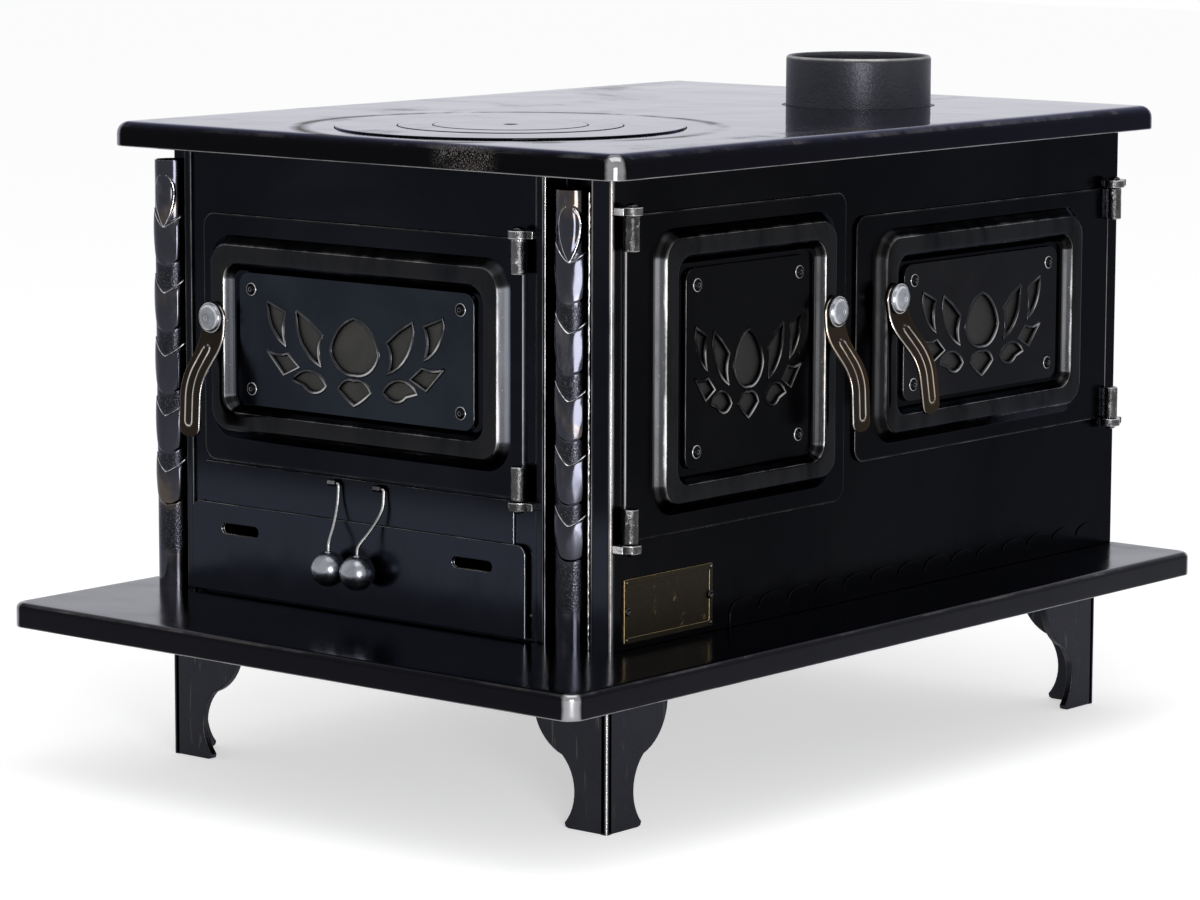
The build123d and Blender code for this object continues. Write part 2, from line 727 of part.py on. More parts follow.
rod_pitch = (rack_w - 2 * rack_rod_r) / (rack_rod_count - 1)
with BuildPart() as oven_rack:
    with BuildSketch(Plane.XZ.offset(-(rack_y - rack_l / 2))):
        with Locations((oven_x, rack_z + rack_rod_r)):
            with GridLocations(rod_pitch, 0, rack_rod_count, 1):
                Circle(rack_rod_r)
    extrude(amount=-rack_l)
    with BuildSketch(Plane.YZ.offset(oven_x - rack_w / 2)):
        with Locations((rack_y - rack_l / 2 + rack_rod_r, rack_z + rack_rod_r),
                       (rack_y, rack_z + rack_rod_r),
                       (rack_y + rack_l / 2 - rack_rod_r, rack_z + rack_rod_r)):
            Circle(rack_rod_r)
    extrude(amount=rack_w)
finish(oven_rack, "oven_rack")

# %% Ash drawer: tray with a tall front, and a slotted plate on the front
tray_w = drawer_mouth_w - 2 * drawer_side_gap
tray_bottom = hearth_top + runner_h + runner_gap
drawer_x = body_left - leaf_gap
tray_y = -drawer_u
plate_top = drawer_bottom + drawer_plate_h
eye_v = drawer_front_top - eye_down
eye_out = leaf_gap + sheet + eye_r
pull_ys = (tray_y + pull_off + pull_spacing / 2,
           tray_y + pull_off - pull_spacing / 2)
ball_ys = (tray_y + pull_off + ball_spacing / 2,
           tray_y + pull_off - ball_spacing / 2)

with BuildPart() as ash_drawer:
    with BuildSketch(Plane.XY.offset(tray_bottom)):
        with Locations((drawer_x + drawer_depth / 2, tray_y)):
            Rectangle(drawer_depth, tray_w)
    extrude(amount=drawer_h)
    with BuildSketch(Plane.XY.offset(tray_bottom + drawer_h)):
        with Locations((drawer_x + drawer_depth / 2 - sheet / 2, tray_y)):
            Rectangle(drawer_depth - sheet, tray_w - 2 * sheet)
    extrude(amount=-(drawer_h - sheet), mode=Mode.SUBTRACT)
    with BuildSketch(on_face(end_face, drawer_u, drawer_bottom + drawer_front_h / 2).offset(leaf_gap)):
        Rectangle(drawer_w - 2 * drawer_strip_in, drawer_front_h)
    extrude(amount=sheet)
    with BuildSketch(on_face(end_face, drawer_u, plate_top - slot_down).offset(leaf_gap)):
        with GridLocations(slot_spacing, 0, 2, 1):
            SlotOverall(slot_w, slot_h)
    extrude(amount=sheet, mode=Mode.SUBTRACT)
    for pull_y in pull_ys:
        with BuildSketch(Plane.XZ.offset(-(pull_y - eye_length / 2))):
            with Locations((body_left - eye_out, eye_v)):
                Circle(eye_r)
            with Locations((body_left - (eye_out + leaf_gap + sheet) / 2, eye_v)):
                Rectangle(eye_out - leaf_gap - sheet, eye_r)
        extrude(amount=-eye_length)
        with BuildSketch(Plane.XZ.offset(-(pull_y - eye_length / 2))):
            with Locations((body_left - eye_out, eye_v)):
                Circle(wire_r + wire_play)
        extrude(amount=-eye_length, mode=Mode.SUBTRACT)
finish(ash_drawer, "ash_drawer")

with BuildPart() as ash_drawer_front:
    with BuildSketch(on_face(end_face, drawer_u, drawer_bottom).offset(leaf_gap + sheet)):
        with Locations((0, drawer_plate_h / 2)):
            Rectangle(drawer_w, drawer_plate_h)
    extrude(amount=sheet)
    fillet(ash_drawer_front.edges().filter_by(Axis.X).group_by(Axis.Z)[-1], drawer_plate_r)
    with BuildSketch(on_face(end_face, drawer_u, plate_top - slot_down).offset(leaf_gap + sheet)):
        with GridLocations(slot_spacing, 0, 2, 1):
            SlotOverall(slot_w, slot_h)
    extrude(amount=sheet, mode=Mode.SUBTRACT)
finish(ash_drawer_front, "ash_drawer_front")

with BuildPart() as drawer_runners:
    with BuildSketch(Plane.XY.offset(hearth_top)):
        with Locations((drawer_x + drawer_depth / 2 + sheet, tray_y)):
            with GridLocations(0, tray_w - runner_w, 1, 2):
                Rectangle(drawer_depth, runner_w)
    extrude(amount=runner_h)
finish(drawer_runners, "drawer_runners")

# %% The two pulls: a bent wire that turns in its eye, with a ball on the end
ball_out = leaf_gap + 2 * sheet + ball_gap + ball_r
ball_v = eye_v - wire_drop


def pull_wire(eye_y, ball_y):
    """Wire from the far end of the eye, round its bend, down to the middle of the ball."""
    tip = eye_y + eye_length / 2
    turn = eye_y - eye_length / 2 - 2 * wire_r
    with BuildPart() as wire:
        with BuildLine() as path:
            FilletPolyline((body_left - eye_out, tip, eye_v),
                           (body_left - eye_out, turn, eye_v),
                           (body_left - eye_out - wire_r, turn, eye_v - wire_drop / 4),
                           (body_left - ball_out, ball_y, ball_v + ball_r + 4 * wire_r),
                           (body_left - ball_out, ball_y, ball_v + ball_r / 2),
                           radius=2 * wire_r)
        with BuildSketch(Plane(origin=path.line @ 0, z_dir=path.line % 0)):
            Circle(wire_r)
        sweep()
    return wire


def pull_ball(ball_y, wire):
    with BuildPart() as ball:
        with Locations((body_left - ball_out, ball_y, ball_v)):
            Sphere(ball_r)
        add(wire.part, mode=Mode.SUBTRACT)
    return ball


left_pull_wire = pull_wire(pull_ys[0], ball_ys[0])
finish(left_pull_wire, "left_pull_wire")
left_pull_ball = pull_ball(ball_ys[0], left_pull_wire)
finish(left_pull_ball, "left_pull_ball")
right_pull_wire = pull_wire(pull_ys[1], ball_ys[1])
finish(right_pull_wire, "right_pull_wire")
right_pull_ball = pull_ball(ball_ys[1], right_pull_wire)
finish(right_pull_ball, "right_pull_ball")


# %% Name plate: a plain raised border, side screws and corner rivets, no lettering
name_place = on_face(front_face, body_left + name_plate_x, hearth_top + name_plate_up)

with BuildPart() as name_plate:
    with BuildSketch(name_place):
        Rectangle(name_plate_w, name_plate_h)
    extrude(amount=name_plate_thick)
    with BuildSketch(name_place.offset(name_plate_thick)):
        Rectangle(name_plate_w, name_plate_h)
        Rectangle(name_plate_w - 2 * name_plate_border, name_plate_h - 2 * name_plate_border,
                  mode=Mode.SUBTRACT)
    extrude(amount=name_plate_relief)
finish(name_plate, "name_plate")

name_face = name_plate_thick + name_plate_relief
with BuildPart() as name_plate_screws:
    with BuildSketch(name_place.offset(name_face)):
        with GridLocations(name_plate_w - 2 * name_screw_r, 0, 2, 1):
            Circle(name_screw_r)
    extrude(amount=name_rivet_r)
    with BuildSketch(name_place.offset(name_face)):
        with GridLocations(name_plate_w - 3 * name_rivet_r, name_plate_h - 3 * name_rivet_r, 2, 2):
            Circle(name_rivet_r)
    extrude(amount=name_rivet_r / 2)
finish(name_plate_screws, "name_plate_screws")


# %% Lotus cut-outs, drawn as a right half and mirrored
def lotus(width, height):
    """Ten petals: bud, inner and outer tall pairs, side pair, low pair and bottom petal."""
    def at(u, v):
        return (u * width / lotus_half_w, v * height / lotus_half_h)

    with BuildSketch() as flower:
        with BuildLine():
            ThreePointArc(at(0, 30), at(22, 16), at(31, -3))
            ThreePointArc(at(31, -3), at(20, -19), at(0, -24))
            Line(at(0, -24), at(0, 30))
        make_face()
        with BuildLine():
            Line(at(74, 32), at(41, 10))
            ThreePointArc(at(41, 10), at(46, -5), at(42, -19))
            ThreePointArc(at(42, -19), at(66, -2), at(74, 32))
        make_face()
        with BuildLine():
            Line(at(112, 38), at(88, 29))
            ThreePointArc(at(88, 29), at(92, 12), at(88, -3))
            ThreePointArc(at(88, -3), at(105, 11), at(112, 38))
        make_face()
        with BuildLine():
            ThreePointArc(at(113, -9), at(99, -12), at(86, -10))
            Line(at(86, -10), at(71, -22))
            Line(at(71, -22), at(91, -31))
            Line(at(91, -31), at(113, -9))
        make_face()
        with BuildLine():
            ThreePointArc(at(80, -35), at(58, -24), at(36, -37))
            ThreePointArc(at(36, -37), at(52, -45), at(66, -39))
            Line(at(66, -39), at(80, -35))
        make_face()
        with BuildLine():
            ThreePointArc(at(0, -29), at(14, -31), at(21, -39))
            ThreePointArc(at(21, -39), at(12, -46), at(0, -53))
            Line(at(0, -53), at(0, -29))
        make_face()
        mirror(about=Plane.YZ)
    return flower.sketch


# %% Doors
def pressed_frame(place, low, height, foot_w, foot_h, corner_r, plateau_w, plateau_h, ridge_r):
    """Solid frame that rises to a flat ridge and falls to a flat middle."""
    outer_taper = degrees(atan2(bead_outer_run, bead_rise))
    inner_taper = degrees(atan2(bead_inner_run, bead_rise))
    with BuildPart() as frame:
        with BuildSketch(place.offset(low)):
            RectangleRounded(foot_w, foot_h, corner_r)
        extrude(amount=height, taper=outer_taper)
        with BuildSketch(place.offset(low + height)):
            RectangleRounded(plateau_w, plateau_h, ridge_r)
        extrude(amount=-height, taper=inner_taper, mode=Mode.SUBTRACT)
    return frame


def door(name, face, leaf_u, leaf_v, leaf_w, leaf_h, place, bead_w, bead_h, decor_w, decor_h,
         lotus_side, lotus_end, hinge_side, latch_in, latch_dv, tilt):
    """One door with its hinges and latch. hinge_side is 1 at the right, -1 at the left."""
    leaf_place = on_face(face, leaf_u, leaf_v)
    leaf_face = leaf_gap + leaf_thick
    ridge = leaf_face + bead_rise
    ridge_w = bead_w - 2 * (bead_outer_run + bead_plateau)
    ridge_h = bead_h - 2 * (bead_outer_run + bead_plateau)
    ridge_r = recess_corner_r + bead_inner_run
    screw_span_w = decor_w - 2 * screw_inset
    screw_span_h = decor_h - 2 * screw_inset
    latch = on_face(place, -hinge_side * (bead_w / 2 - latch_in), latch_dv)
    raised = pressed_frame(place, leaf_face, bead_rise, bead_w, bead_h, bead_corner_r,
                           ridge_w, ridge_h, ridge_r)
    hollow = pressed_frame(place, leaf_gap, bead_rise, bead_w - 2 * bead_skin,
                           bead_h - 2 * bead_skin, bead_corner_r - bead_skin,
                           ridge_w + 2 * bead_skin, ridge_h + 2 * bead_skin,
                           ridge_r + bead_skin)

    with BuildPart() as leaf:
        with BuildSketch(leaf_place.offset(leaf_gap)) as outline:
            Rectangle(leaf_w, leaf_h)
            free_corners = outline.vertices().group_by(Axis.X)[min(-hinge_side, 0)]
            fillet(free_corners, leaf_corner_r)
        extrude(amount=leaf_thick)
        add(raised.part)
        add(hollow.part, mode=Mode.SUBTRACT)
        with BuildSketch(latch.offset(leaf_gap)):
            Circle(shaft_r + shaft_play)
        extrude(amount=ridge, mode=Mode.SUBTRACT)
        with BuildSketch(place.offset(leaf_gap)):
            with GridLocations(screw_span_w, screw_span_h, 2, 2):
                Circle(screw_r + fixed_fit)
        extrude(amount=leaf_thick, mode=Mode.SUBTRACT)
    finish(leaf, f"{name}_leaf")

    with BuildPart() as backing:
        with BuildSketch(place.offset(leaf_face)):
            Rectangle(decor_w - 2 * backing_margin, decor_h - 2 * backing_margin)
            with GridLocations(screw_span_w, screw_span_h, 2, 2):
                Circle(screw_r + fixed_fit, mode=Mode.SUBTRACT)
        extrude(amount=backing_thick)
    finish(backing, f"{name}_backing_plate")

    with BuildPart() as decor:
        with BuildSketch(place.offset(leaf_face + backing_thick)):
            RectangleRounded(decor_w, decor_h, decor_corner_r)
            add(lotus(decor_w / 2 - lotus_side, decor_h / 2 - lotus_end), mode=Mode.SUBTRACT)
            with GridLocations(screw_span_w, screw_span_h, 2, 2):
                Circle(screw_r + fixed_fit, mode=Mode.SUBTRACT)
        extrude(amount=decor_thick)
    finish(decor, f"{name}_decor_plate")

    decor_face = leaf_face + backing_thick + decor_thick
    with BuildPart() as screws:
        with BuildSketch(place.offset(leaf_gap)):
            with GridLocations(screw_span_w, screw_span_h, 2, 2):
                Circle(screw_r)
        extrude(amount=decor_face - leaf_gap)
        with BuildSketch(place.offset(decor_face)):
            with GridLocations(screw_span_w, screw_span_h, 2, 2):
                Circle(screw_head_r)
        extrude(amount=screw_head_h, taper=30)
        with BuildSketch(place.offset(decor_face + screw_head_h)):
            with GridLocations(screw_span_w, screw_span_h, 2, 2):
                RegularPolygon(screw_socket_r, 6)
        extrude(amount=-screw_head_h / 2, mode=Mode.SUBTRACT)
    finish(screws, f"{name}_decor_screws")

    # Hinges: barrels on the leaf, eyes on the body above and below it, a headed pin in each
    axis_out = leaf_face + barrel_r
    half = leaf_h / 2

    def hinge_plane(v):
        return Plane(origin=leaf_place.from_local_coords((hinge_side * leaf_w / 2, v, 0)),
                     x_dir=leaf_place.x_dir, z_dir=(0, 0, 1))

    with BuildPart() as barrels:
        with BuildSketch(hinge_plane(half - barrel_h), hinge_plane(-half)):
            with Locations((0, -axis_out)):
                Circle(barrel_r)
            with Locations((-hinge_side * barrel_web / 2, -(axis_out + leaf_face) / 2)):
                Rectangle(barrel_web, axis_out - leaf_face)
            with Locations((0, -axis_out)):
                Circle(hinge_pin_r + pin_play, mode=Mode.SUBTRACT)
        extrude(amount=barrel_h)
    finish(barrels, f"{name}_hinge_barrels")

    with BuildPart() as eyes:
        with BuildSketch(hinge_plane(half + eye_gap), hinge_plane(-half - eye_gap - ring_h)):
            with Locations((0, -axis_out)):
                Circle(ring_r)
            with Locations((0, -axis_out / 2)):
                Rectangle(2 * arm_half, axis_out)
            with Locations((0, -axis_out)):
                Circle(hinge_pin_r + fixed_fit, mode=Mode.SUBTRACT)
        extrude(amount=ring_h)
    finish(eyes, f"{name}_hinge_eyes")

    pin_length = ring_h + eye_gap + barrel_h - pin_head_h
    with BuildPart() as pins:
        with BuildSketch(hinge_plane(half + eye_gap + ring_h - pin_length),
                         hinge_plane(-half - eye_gap - ring_h)):
            with Locations((0, -axis_out)):
                Circle(hinge_pin_r)
        extrude(amount=pin_length)
        with BuildSketch(hinge_plane(half + eye_gap + ring_h),
                         hinge_plane(-half - eye_gap - ring_h - pin_head_h)):
            with Locations((0, -axis_out)):
                Circle(pin_head_r)
        extrude(amount=pin_head_h)
    finish(pins, f"{name}_hinge_pins")

    # Latch: domed knob on a shaft through the ridge, bent lever in front, stub tongue behind
    lever_back = ridge + lever_gap
    lever_face = lever_back + lever_thick
    reach = latch_in - opening_lap - tongue_gap
    swing = Plane(origin=latch.origin, x_dir=latch.x_dir.rotate(Axis((0, 0, 0), latch.z_dir), tilt),
                  z_dir=latch.z_dir)
    lever_side = Plane(origin=swing.origin, x_dir=swing.y_dir, z_dir=swing.x_dir)

    def strap(low, high, outline):
        """Slab bent like the lever, between two heights above its back, cut to an outline."""
        tip = -lever_drop - lever_w
        with BuildPart() as slab:
            with BuildSketch(lever_side):
                with BuildLine():
                    back = FilletPolyline((lever_w, lever_back + low),
                                          (-lever_bend_top, lever_back + low),
                                          (-lever_bend_low, lever_back + lever_out + low),
                                          (tip, lever_back + lever_out + low),
                                          radius=lever_bend_r)
                    front = FilletPolyline((lever_w, lever_back + high),
                                           (-lever_bend_top, lever_back + high),
                                           (-lever_bend_low, lever_back + lever_out + high),
                                           (tip, lever_back + lever_out + high),
                                           radius=lever_bend_r)
                    Line(back @ 0, front @ 0)
                    Line(back @ 1, front @ 1)
                make_face()
            extrude(amount=lever_w, both=True)
            with BuildSketch(swing):
                add(outline)
            extrude(amount=lever_back + lever_out + high + lever_w, mode=Mode.INTERSECT)
        return slab.part

    with BuildSketch() as lever_outline:
        with Locations((0, -lever_drop / 2)):
            SlotCenterToCenter(lever_drop, lever_w, rotation=90)
    rib_top = lever_rib_w + lever_w / 2
    rib_low = lever_drop - lever_rib_w / 2
    with BuildSketch() as rib_outline:
        with Locations((0, -(rib_top + rib_low) / 2)):
            SlotCenterToCenter(rib_low - rib_top, lever_rib_w, rotation=90)
            SlotCenterToCenter(rib_low - rib_top, lever_rib_w - 2 * lever_rib_line,
                               rotation=90, mode=Mode.SUBTRACT)

    with BuildPart() as lever:
        add(strap(0, lever_thick, lever_outline.sketch))
        add(strap(lever_thick / 2, lever_thick + lever_rib_h, rib_outline.sketch))
        with BuildSketch(latch):
            Circle(shaft_r + fixed_fit)
        extrude(amount=lever_face + lever_thick, mode=Mode.SUBTRACT)
    finish(lever, f"{name}_latch_lever")

    with BuildPart() as tongue:
        with BuildSketch(latch):
            Circle(tongue_w / 2 + shaft_wall)
            with Locations((-hinge_side * reach / 2, 0)):
                Rectangle(reach, tongue_w)
            with Locations((0, 0)):
                Circle(reach, mode=Mode.INTERSECT)
            Circle(shaft_r + fixed_fit, mode=Mode.SUBTRACT)
        extrude(amount=-tongue_thick)
    finish(tongue, f"{name}_latch_tongue")

    with BuildPart() as knob:
        with BuildSketch(latch.offset(-tongue_thick)):
            Circle(shaft_r)
        extrude(amount=lever_face + tongue_thick)
        with BuildSketch(latch.offset(lever_face)):
            Circle(knob_r)
        extrude(amount=knob_rim + knob_dome)
        fillet(knob.faces().sort_by(Axis((0, 0, 0), latch.z_dir))[-1].edges(), knob_dome)
    finish(knob, f"{name}_latch_knob")


door("fire_door", end_face, fire_leaf_u, fire_leaf_v, fire_leaf_w, fire_leaf_h, fire_place,
     fire_bead_w, fire_bead_h, fire_decor_w, fire_decor_h, fire_lotus_side, fire_lotus_end, 1,
     fire_latch_in, fire_latch_dv, fire_lever_tilt)
door("side_door", front_face, side_leaf_u, side_leaf_v, side_leaf_w, side_leaf_h, side_place,
     side_bead_w, side_bead_h, side_decor_w, side_decor_h, side_lotus_side, side_lotus_end, -1,
     side_latch_in, side_latch_dv, side_lever_tilt)
door("oven_door", front_face, oven_leaf_u, oven_leaf_v, oven_leaf_w, oven_leaf_h, oven_place,
     oven_bead_w, oven_bead_h, oven_decor_w, oven_decor_h, oven_lotus_side, oven_lotus_end, 1,
     oven_latch_in, oven_latch_dv, oven_lever_tilt)

print("stove", round(cooktop_top + flue_height, 1), "mm tall")
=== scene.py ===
# %% [markdown]
# # A wood cookstove in blackened steel
# The stove is a box of bent sheet on four cast legs. Its frame comes from the packed model, in metres, with the
# floor at z = 0. This lesson dresses that frame: each step says what a piece is on the real stove, how it could
# be made, and why it is made this way here.

# %% Load the frame
import math

import bmesh
import bpy
from mathutils import Matrix, Vector, noise


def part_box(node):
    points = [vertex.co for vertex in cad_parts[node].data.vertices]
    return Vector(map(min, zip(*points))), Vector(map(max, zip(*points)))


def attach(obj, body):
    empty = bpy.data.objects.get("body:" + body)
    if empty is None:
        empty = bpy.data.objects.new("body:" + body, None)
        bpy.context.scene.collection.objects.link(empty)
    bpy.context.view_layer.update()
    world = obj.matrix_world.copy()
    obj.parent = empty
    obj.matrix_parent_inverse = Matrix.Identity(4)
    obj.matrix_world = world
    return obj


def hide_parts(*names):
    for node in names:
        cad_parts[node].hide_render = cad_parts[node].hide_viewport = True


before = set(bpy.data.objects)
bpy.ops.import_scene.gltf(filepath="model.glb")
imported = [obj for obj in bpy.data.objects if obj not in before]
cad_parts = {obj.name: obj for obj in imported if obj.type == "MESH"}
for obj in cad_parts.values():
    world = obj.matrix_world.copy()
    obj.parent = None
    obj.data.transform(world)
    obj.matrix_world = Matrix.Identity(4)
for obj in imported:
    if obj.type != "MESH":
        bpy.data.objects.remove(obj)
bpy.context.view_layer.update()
noise.seed_set(7)  # noise_vector, which makes the welds lumpy, would otherwise start from the clock
scene = bpy.context.scene

# %% [markdown]
# ## Camera
# The photograph looks down a little at the corner between the fire end and the long front, through a long lens.
# A long lens keeps the verticals nearly parallel, so the shift stays at zero.

# %% Camera
CAMERA_PLACE = (-3.410, -2.790, 0.937)
YAW, PITCH, ROLL = (math.radians(turn) for turn in (39.68, -8.265, 0.17))
LENS_MM, SENSOR_MM = 134.28, 36

lens = bpy.data.cameras.new("camera")
lens.lens, lens.sensor_width = LENS_MM, SENSOR_MM
camera = bpy.data.objects.new("camera", lens)
scene.collection.objects.link(camera)
camera.matrix_world = (Matrix.Translation(CAMERA_PLACE) @ Matrix.Rotation(YAW - math.pi / 2, 4, "Z")
                       @ Matrix.Rotation(math.pi / 2 + PITCH, 4, "X") @ Matrix.Rotation(ROLL, 4, "Z"))
scene.camera = camera
print("camera stands", round(Vector(CAMERA_PLACE).length, 2), "m from the stove's middle")

# %% [markdown]
# ## Shader maths written as expressions
# A finish is a sum of small masks. Wiring Math nodes by hand hides the sum, so a socket is wrapped in a small
# class: adding or multiplying two values adds the node that does it, and 1 - mask works too. Every other node
# goes through one method, which takes its type, its settings and then the values or links of its sockets.


# %% A value that adds its own Math nodes, and one method for any node
class Value:
    """A socket, with the operators used on it."""

    def __init__(self, nodes, socket):
        self.nodes, self.socket = nodes, socket

    def math(self, operation, *others):
        return self.nodes.node("ShaderNodeMath", {"operation": operation}, dict(enumerate((self,) + others)))

    def __add__(self, other):
        return self.math("ADD", other)

    def __mul__(self, other):
        return self.math("MULTIPLY", other)

    __radd__, __rmul__ = __add__, __mul__

    def __sub__(self, other):
        return self.math("SUBTRACT", other)

    def __rsub__(self, other):
        return self.nodes.node("ShaderNodeMath", {"operation": "SUBTRACT"}, {0: other, 1: self})

    def most(self, other):
        return self.math("MAXIMUM", other)

    def least(self, other):
        return self.math("MINIMUM", other)

    def above(self, low, high):
        """0 below low, 1 above high, smooth between; the other way round when low is the larger."""
        return self.nodes.node("ShaderNodeMapRange", {"interpolation_type": "SMOOTHSTEP"},
                               {0: self, 1: low, 2: high})


class Nodes:
    """A node tree of a material or the world."""

    def __init__(self, tree):
        self.tree = tree

    def node(self, kind, settings=None, inputs=None, output=0):
        made = self.tree.nodes.new(kind)
        for key, value in (settings or {}).items():
            setattr(made, key, value)
        for key, value in (inputs or {}).items():
            self.feed(made.inputs[key], value)
        return Value(self, made.outputs[output])

    def feed(self, socket, value):
        if isinstance(value, Value):
            self.tree.links.new(value.socket, socket)
        else:
            is_colour = socket.type == "RGBA" and len(value) == 3
            socket.default_value = (*value, 1) if is_colour else value


print("operators:", [name for name in vars(Value) if name.startswith("__")][1:])

# %% [markdown]
# ## A finish
# Every finish is one material with a Principled shader. Numbers that are the same all over are set on the
# shader's own sockets. What changes over a surface feeds only colour, roughness, metal and normal. The wear is
# stored on the vertices when a piece is made: 0 in the middle of a surface, 1 on the edges that hands and rags
# keep bright. On rounded edges and bends the same value also paints in part of the highlight those edges catch.


# %% A finish, with the few nodes that all of them use
class Finish(Nodes):
    def __init__(self, name, slot="black_steel", **constants):
        self.slot = slot
        self.material = bpy.data.materials.new(name)
        self.material.use_nodes = True
        super().__init__(self.material.node_tree)
        self.surface(**constants)

    def surface(self, **sockets):
        shader = self.tree.nodes["Principled BSDF"]
        for key, value in sockets.items():
            self.feed(shader.inputs[key.replace("_", " ")], value)
        return self

    def vector(self, operation, first, second=(0, 0, 0), output=0):
        return self.node("ShaderNodeVectorMath", {"operation": operation}, {0: first, 1: second}, output)

    def place(self, stretch=(1, 1, 1)):
        """Object coordinates in metres, stretched for grain or streaks."""
        return self.vector("MULTIPLY", self.node("ShaderNodeTexCoord", output="Object"), stretch)

    def height(self):
        return self.node("ShaderNodeSeparateXYZ", {}, {0: self.place()}, "Z")

    def distance(self, spot, stretch=(1, 1, 1)):
        return self.vector("LENGTH", self.vector("SUBTRACT", self.place(stretch), spot), output="Value")

    def noise(self, scale, detail=4.0, rough=0.6, stretch=(1, 1, 1), warp=0.0):
        return self.node("ShaderNodeTexNoise", {}, {"Vector": self.place(stretch), "Scale": scale, "Detail": detail,
                                                    "Roughness": rough, "Distortion": warp})

    def stored(self, layer="wear"):
        return self.node("ShaderNodeAttribute", {"attribute_name": layer}, output="Fac")

    def mix(self, mask, dark, light):
        return self.node("ShaderNodeMix", {"data_type": "RGBA"}, {0: mask, 6: dark, 7: light}, 2)

    def bump(self, height, depth):
        return self.node("ShaderNodeBump", {}, {"Distance": depth, "Height": height})


def scaled(colour, factor):
    return tuple(value * factor for value in colour)


print("finish class ready")

# %% [markdown]
# ## Blackened, polished sheet
# The panels and doors are blued sheet, waxed and rubbed: nearly black, glossy, and cool where they mirror the
# room. A metal's Base Color says how much it mirrors, so one colour map can run from the film, which returns one
# part in a hundred, to bare steel on the ridges, where hands wear the film thin and a warm tint shows through;
# on rounded ridges that bright steel is in part a painted highlight. Fine noise breaks up the edge between the
# two. Where the wear is middling, mostly on the bead slopes, a brighter tone is a painted sheen.

# %% Blackened steel
# Tone where the wear is middling, mostly the bead slopes: some rubbing, and a painted sheen of the light they catch.
MID_WEAR_SHEEN_TONE = (0.0145, 0.0147, 0.0156)


def blackened(name, film, shine=0.13, edge=(0.42, 0.42, 0.43), bare=1.0, lustre=0.03, sheen=(0.56, 0.57, 0.61),
              bronze=0.25, low_gain=0.0, slot="black_steel"):
    """film: what the blueing mirrors, and low_gain: how much more near the hearth; lustre: the same on rounded
    ridges; edge: rubbed steel, bare: how far it spreads, bronze: its warm part; sheen: tint of flat reflections."""
    made = Finish(name, slot, Metallic=1.0, Specular_Tint=sheen)
    cloud = made.noise(4.0, 5.0, warp=0.6)
    smear = made.noise(26.0, 6.0, 0.65, (1.0, 1.0, 0.35), 0.3)
    speck = made.noise(800.0, 3.0)
    worn = made.stored()
    rubbed = (worn * (0.30 + 1.15 * smear) * bare).above(0.50, 1.10)
    nicks = speck.above(0.69, 0.76) * worn.above(0.05, 0.4) * 0.35 * bare
    tint = made.mix(cloud.above(0.35, 0.70), film, scaled(film, 1.7))
    if low_gain:
        tint = made.mix(made.height().above(0.31, 0.27) * low_gain, tint, scaled(film, 4))
    ridge = made.mix(worn.above(0.05, 0.7), tint, scaled((1.0, 1.02, 1.10), lustre))
    # middling wear, mostly on bead slopes, takes the painted sheen tone
    crown = worn.above(0.04, 0.12) * worn.above(0.40, 0.24) * smear.above(0.2, 0.6)
    warm = made.mix(cloud.above(0.48, 0.62) * bronze, edge, (edge[0] * 0.9, edge[1] * 0.66, edge[2] * 0.45))
    return made.surface(
        Base_Color=made.mix(rubbed.most(nicks), made.mix(crown, ridge, MID_WEAR_SHEEN_TONE), warm),
        Roughness=(shine + 0.12 * smear.above(0.35, 0.75) + 0.05 * cloud + 0.06 * rubbed).least(0.9),
        Normal=made.bump(made.noise(6.0, 2.0, 0.5) + speck * 0.004, 0.0016),
    )


black_steel = blackened("blackened_sheet", (0.0030, 0.0030, 0.0032), lustre=0.0050)
end_steel = blackened("blackened_end_sheet", (0.0050, 0.0057, 0.0078), lustre=0.0120, low_gain=0.9)
end_plate_steel = blackened("end_decor_sheet", (0.0120, 0.0145, 0.0195))
oven_plate_steel = blackened("oven_decor_sheet", (0.0100, 0.0100, 0.0108), lustre=0.022)
dark_fasteners = blackened("oiled_screws", (0.0040, 0.0040, 0.0045), 0.12, lustre=0.05, slot="dark_fasteners")
bronzed_strip = blackened("bronzed_strip", (0.0130, 0.0103, 0.0083), 0.11, edge=(0.50, 0.47, 0.43), bare=1.6,
                          lustre=0.090, sheen=(0.7, 0.62, 0.55), bronze=0.6, slot="bronzed_steel")
print("blackened sheet:", len(black_steel.tree.nodes), "nodes")

# %% [markdown]
# ## Cooktop and hearth
# They are the same sheet, thicker and heat-stained, seen so flat that they mirror the room: smears of old polish
# show in their gloss. A pan has left a ring round the cooking hole. A stain is not a mirror, so the stains lower
# Metallic, but only on the flat top: on the lip a dull patch would look like a hole. The lavender cast of their
# flat reflections is a painted reflection: the sheen tint holds the colour of the room they mirror.

# %% Trays
RING_STAIN_AT, RING_STAIN_R = (-0.1675, 0.0125, 0), 0.192
SCUFF_AT = (-0.3685, -0.105, 0.616)


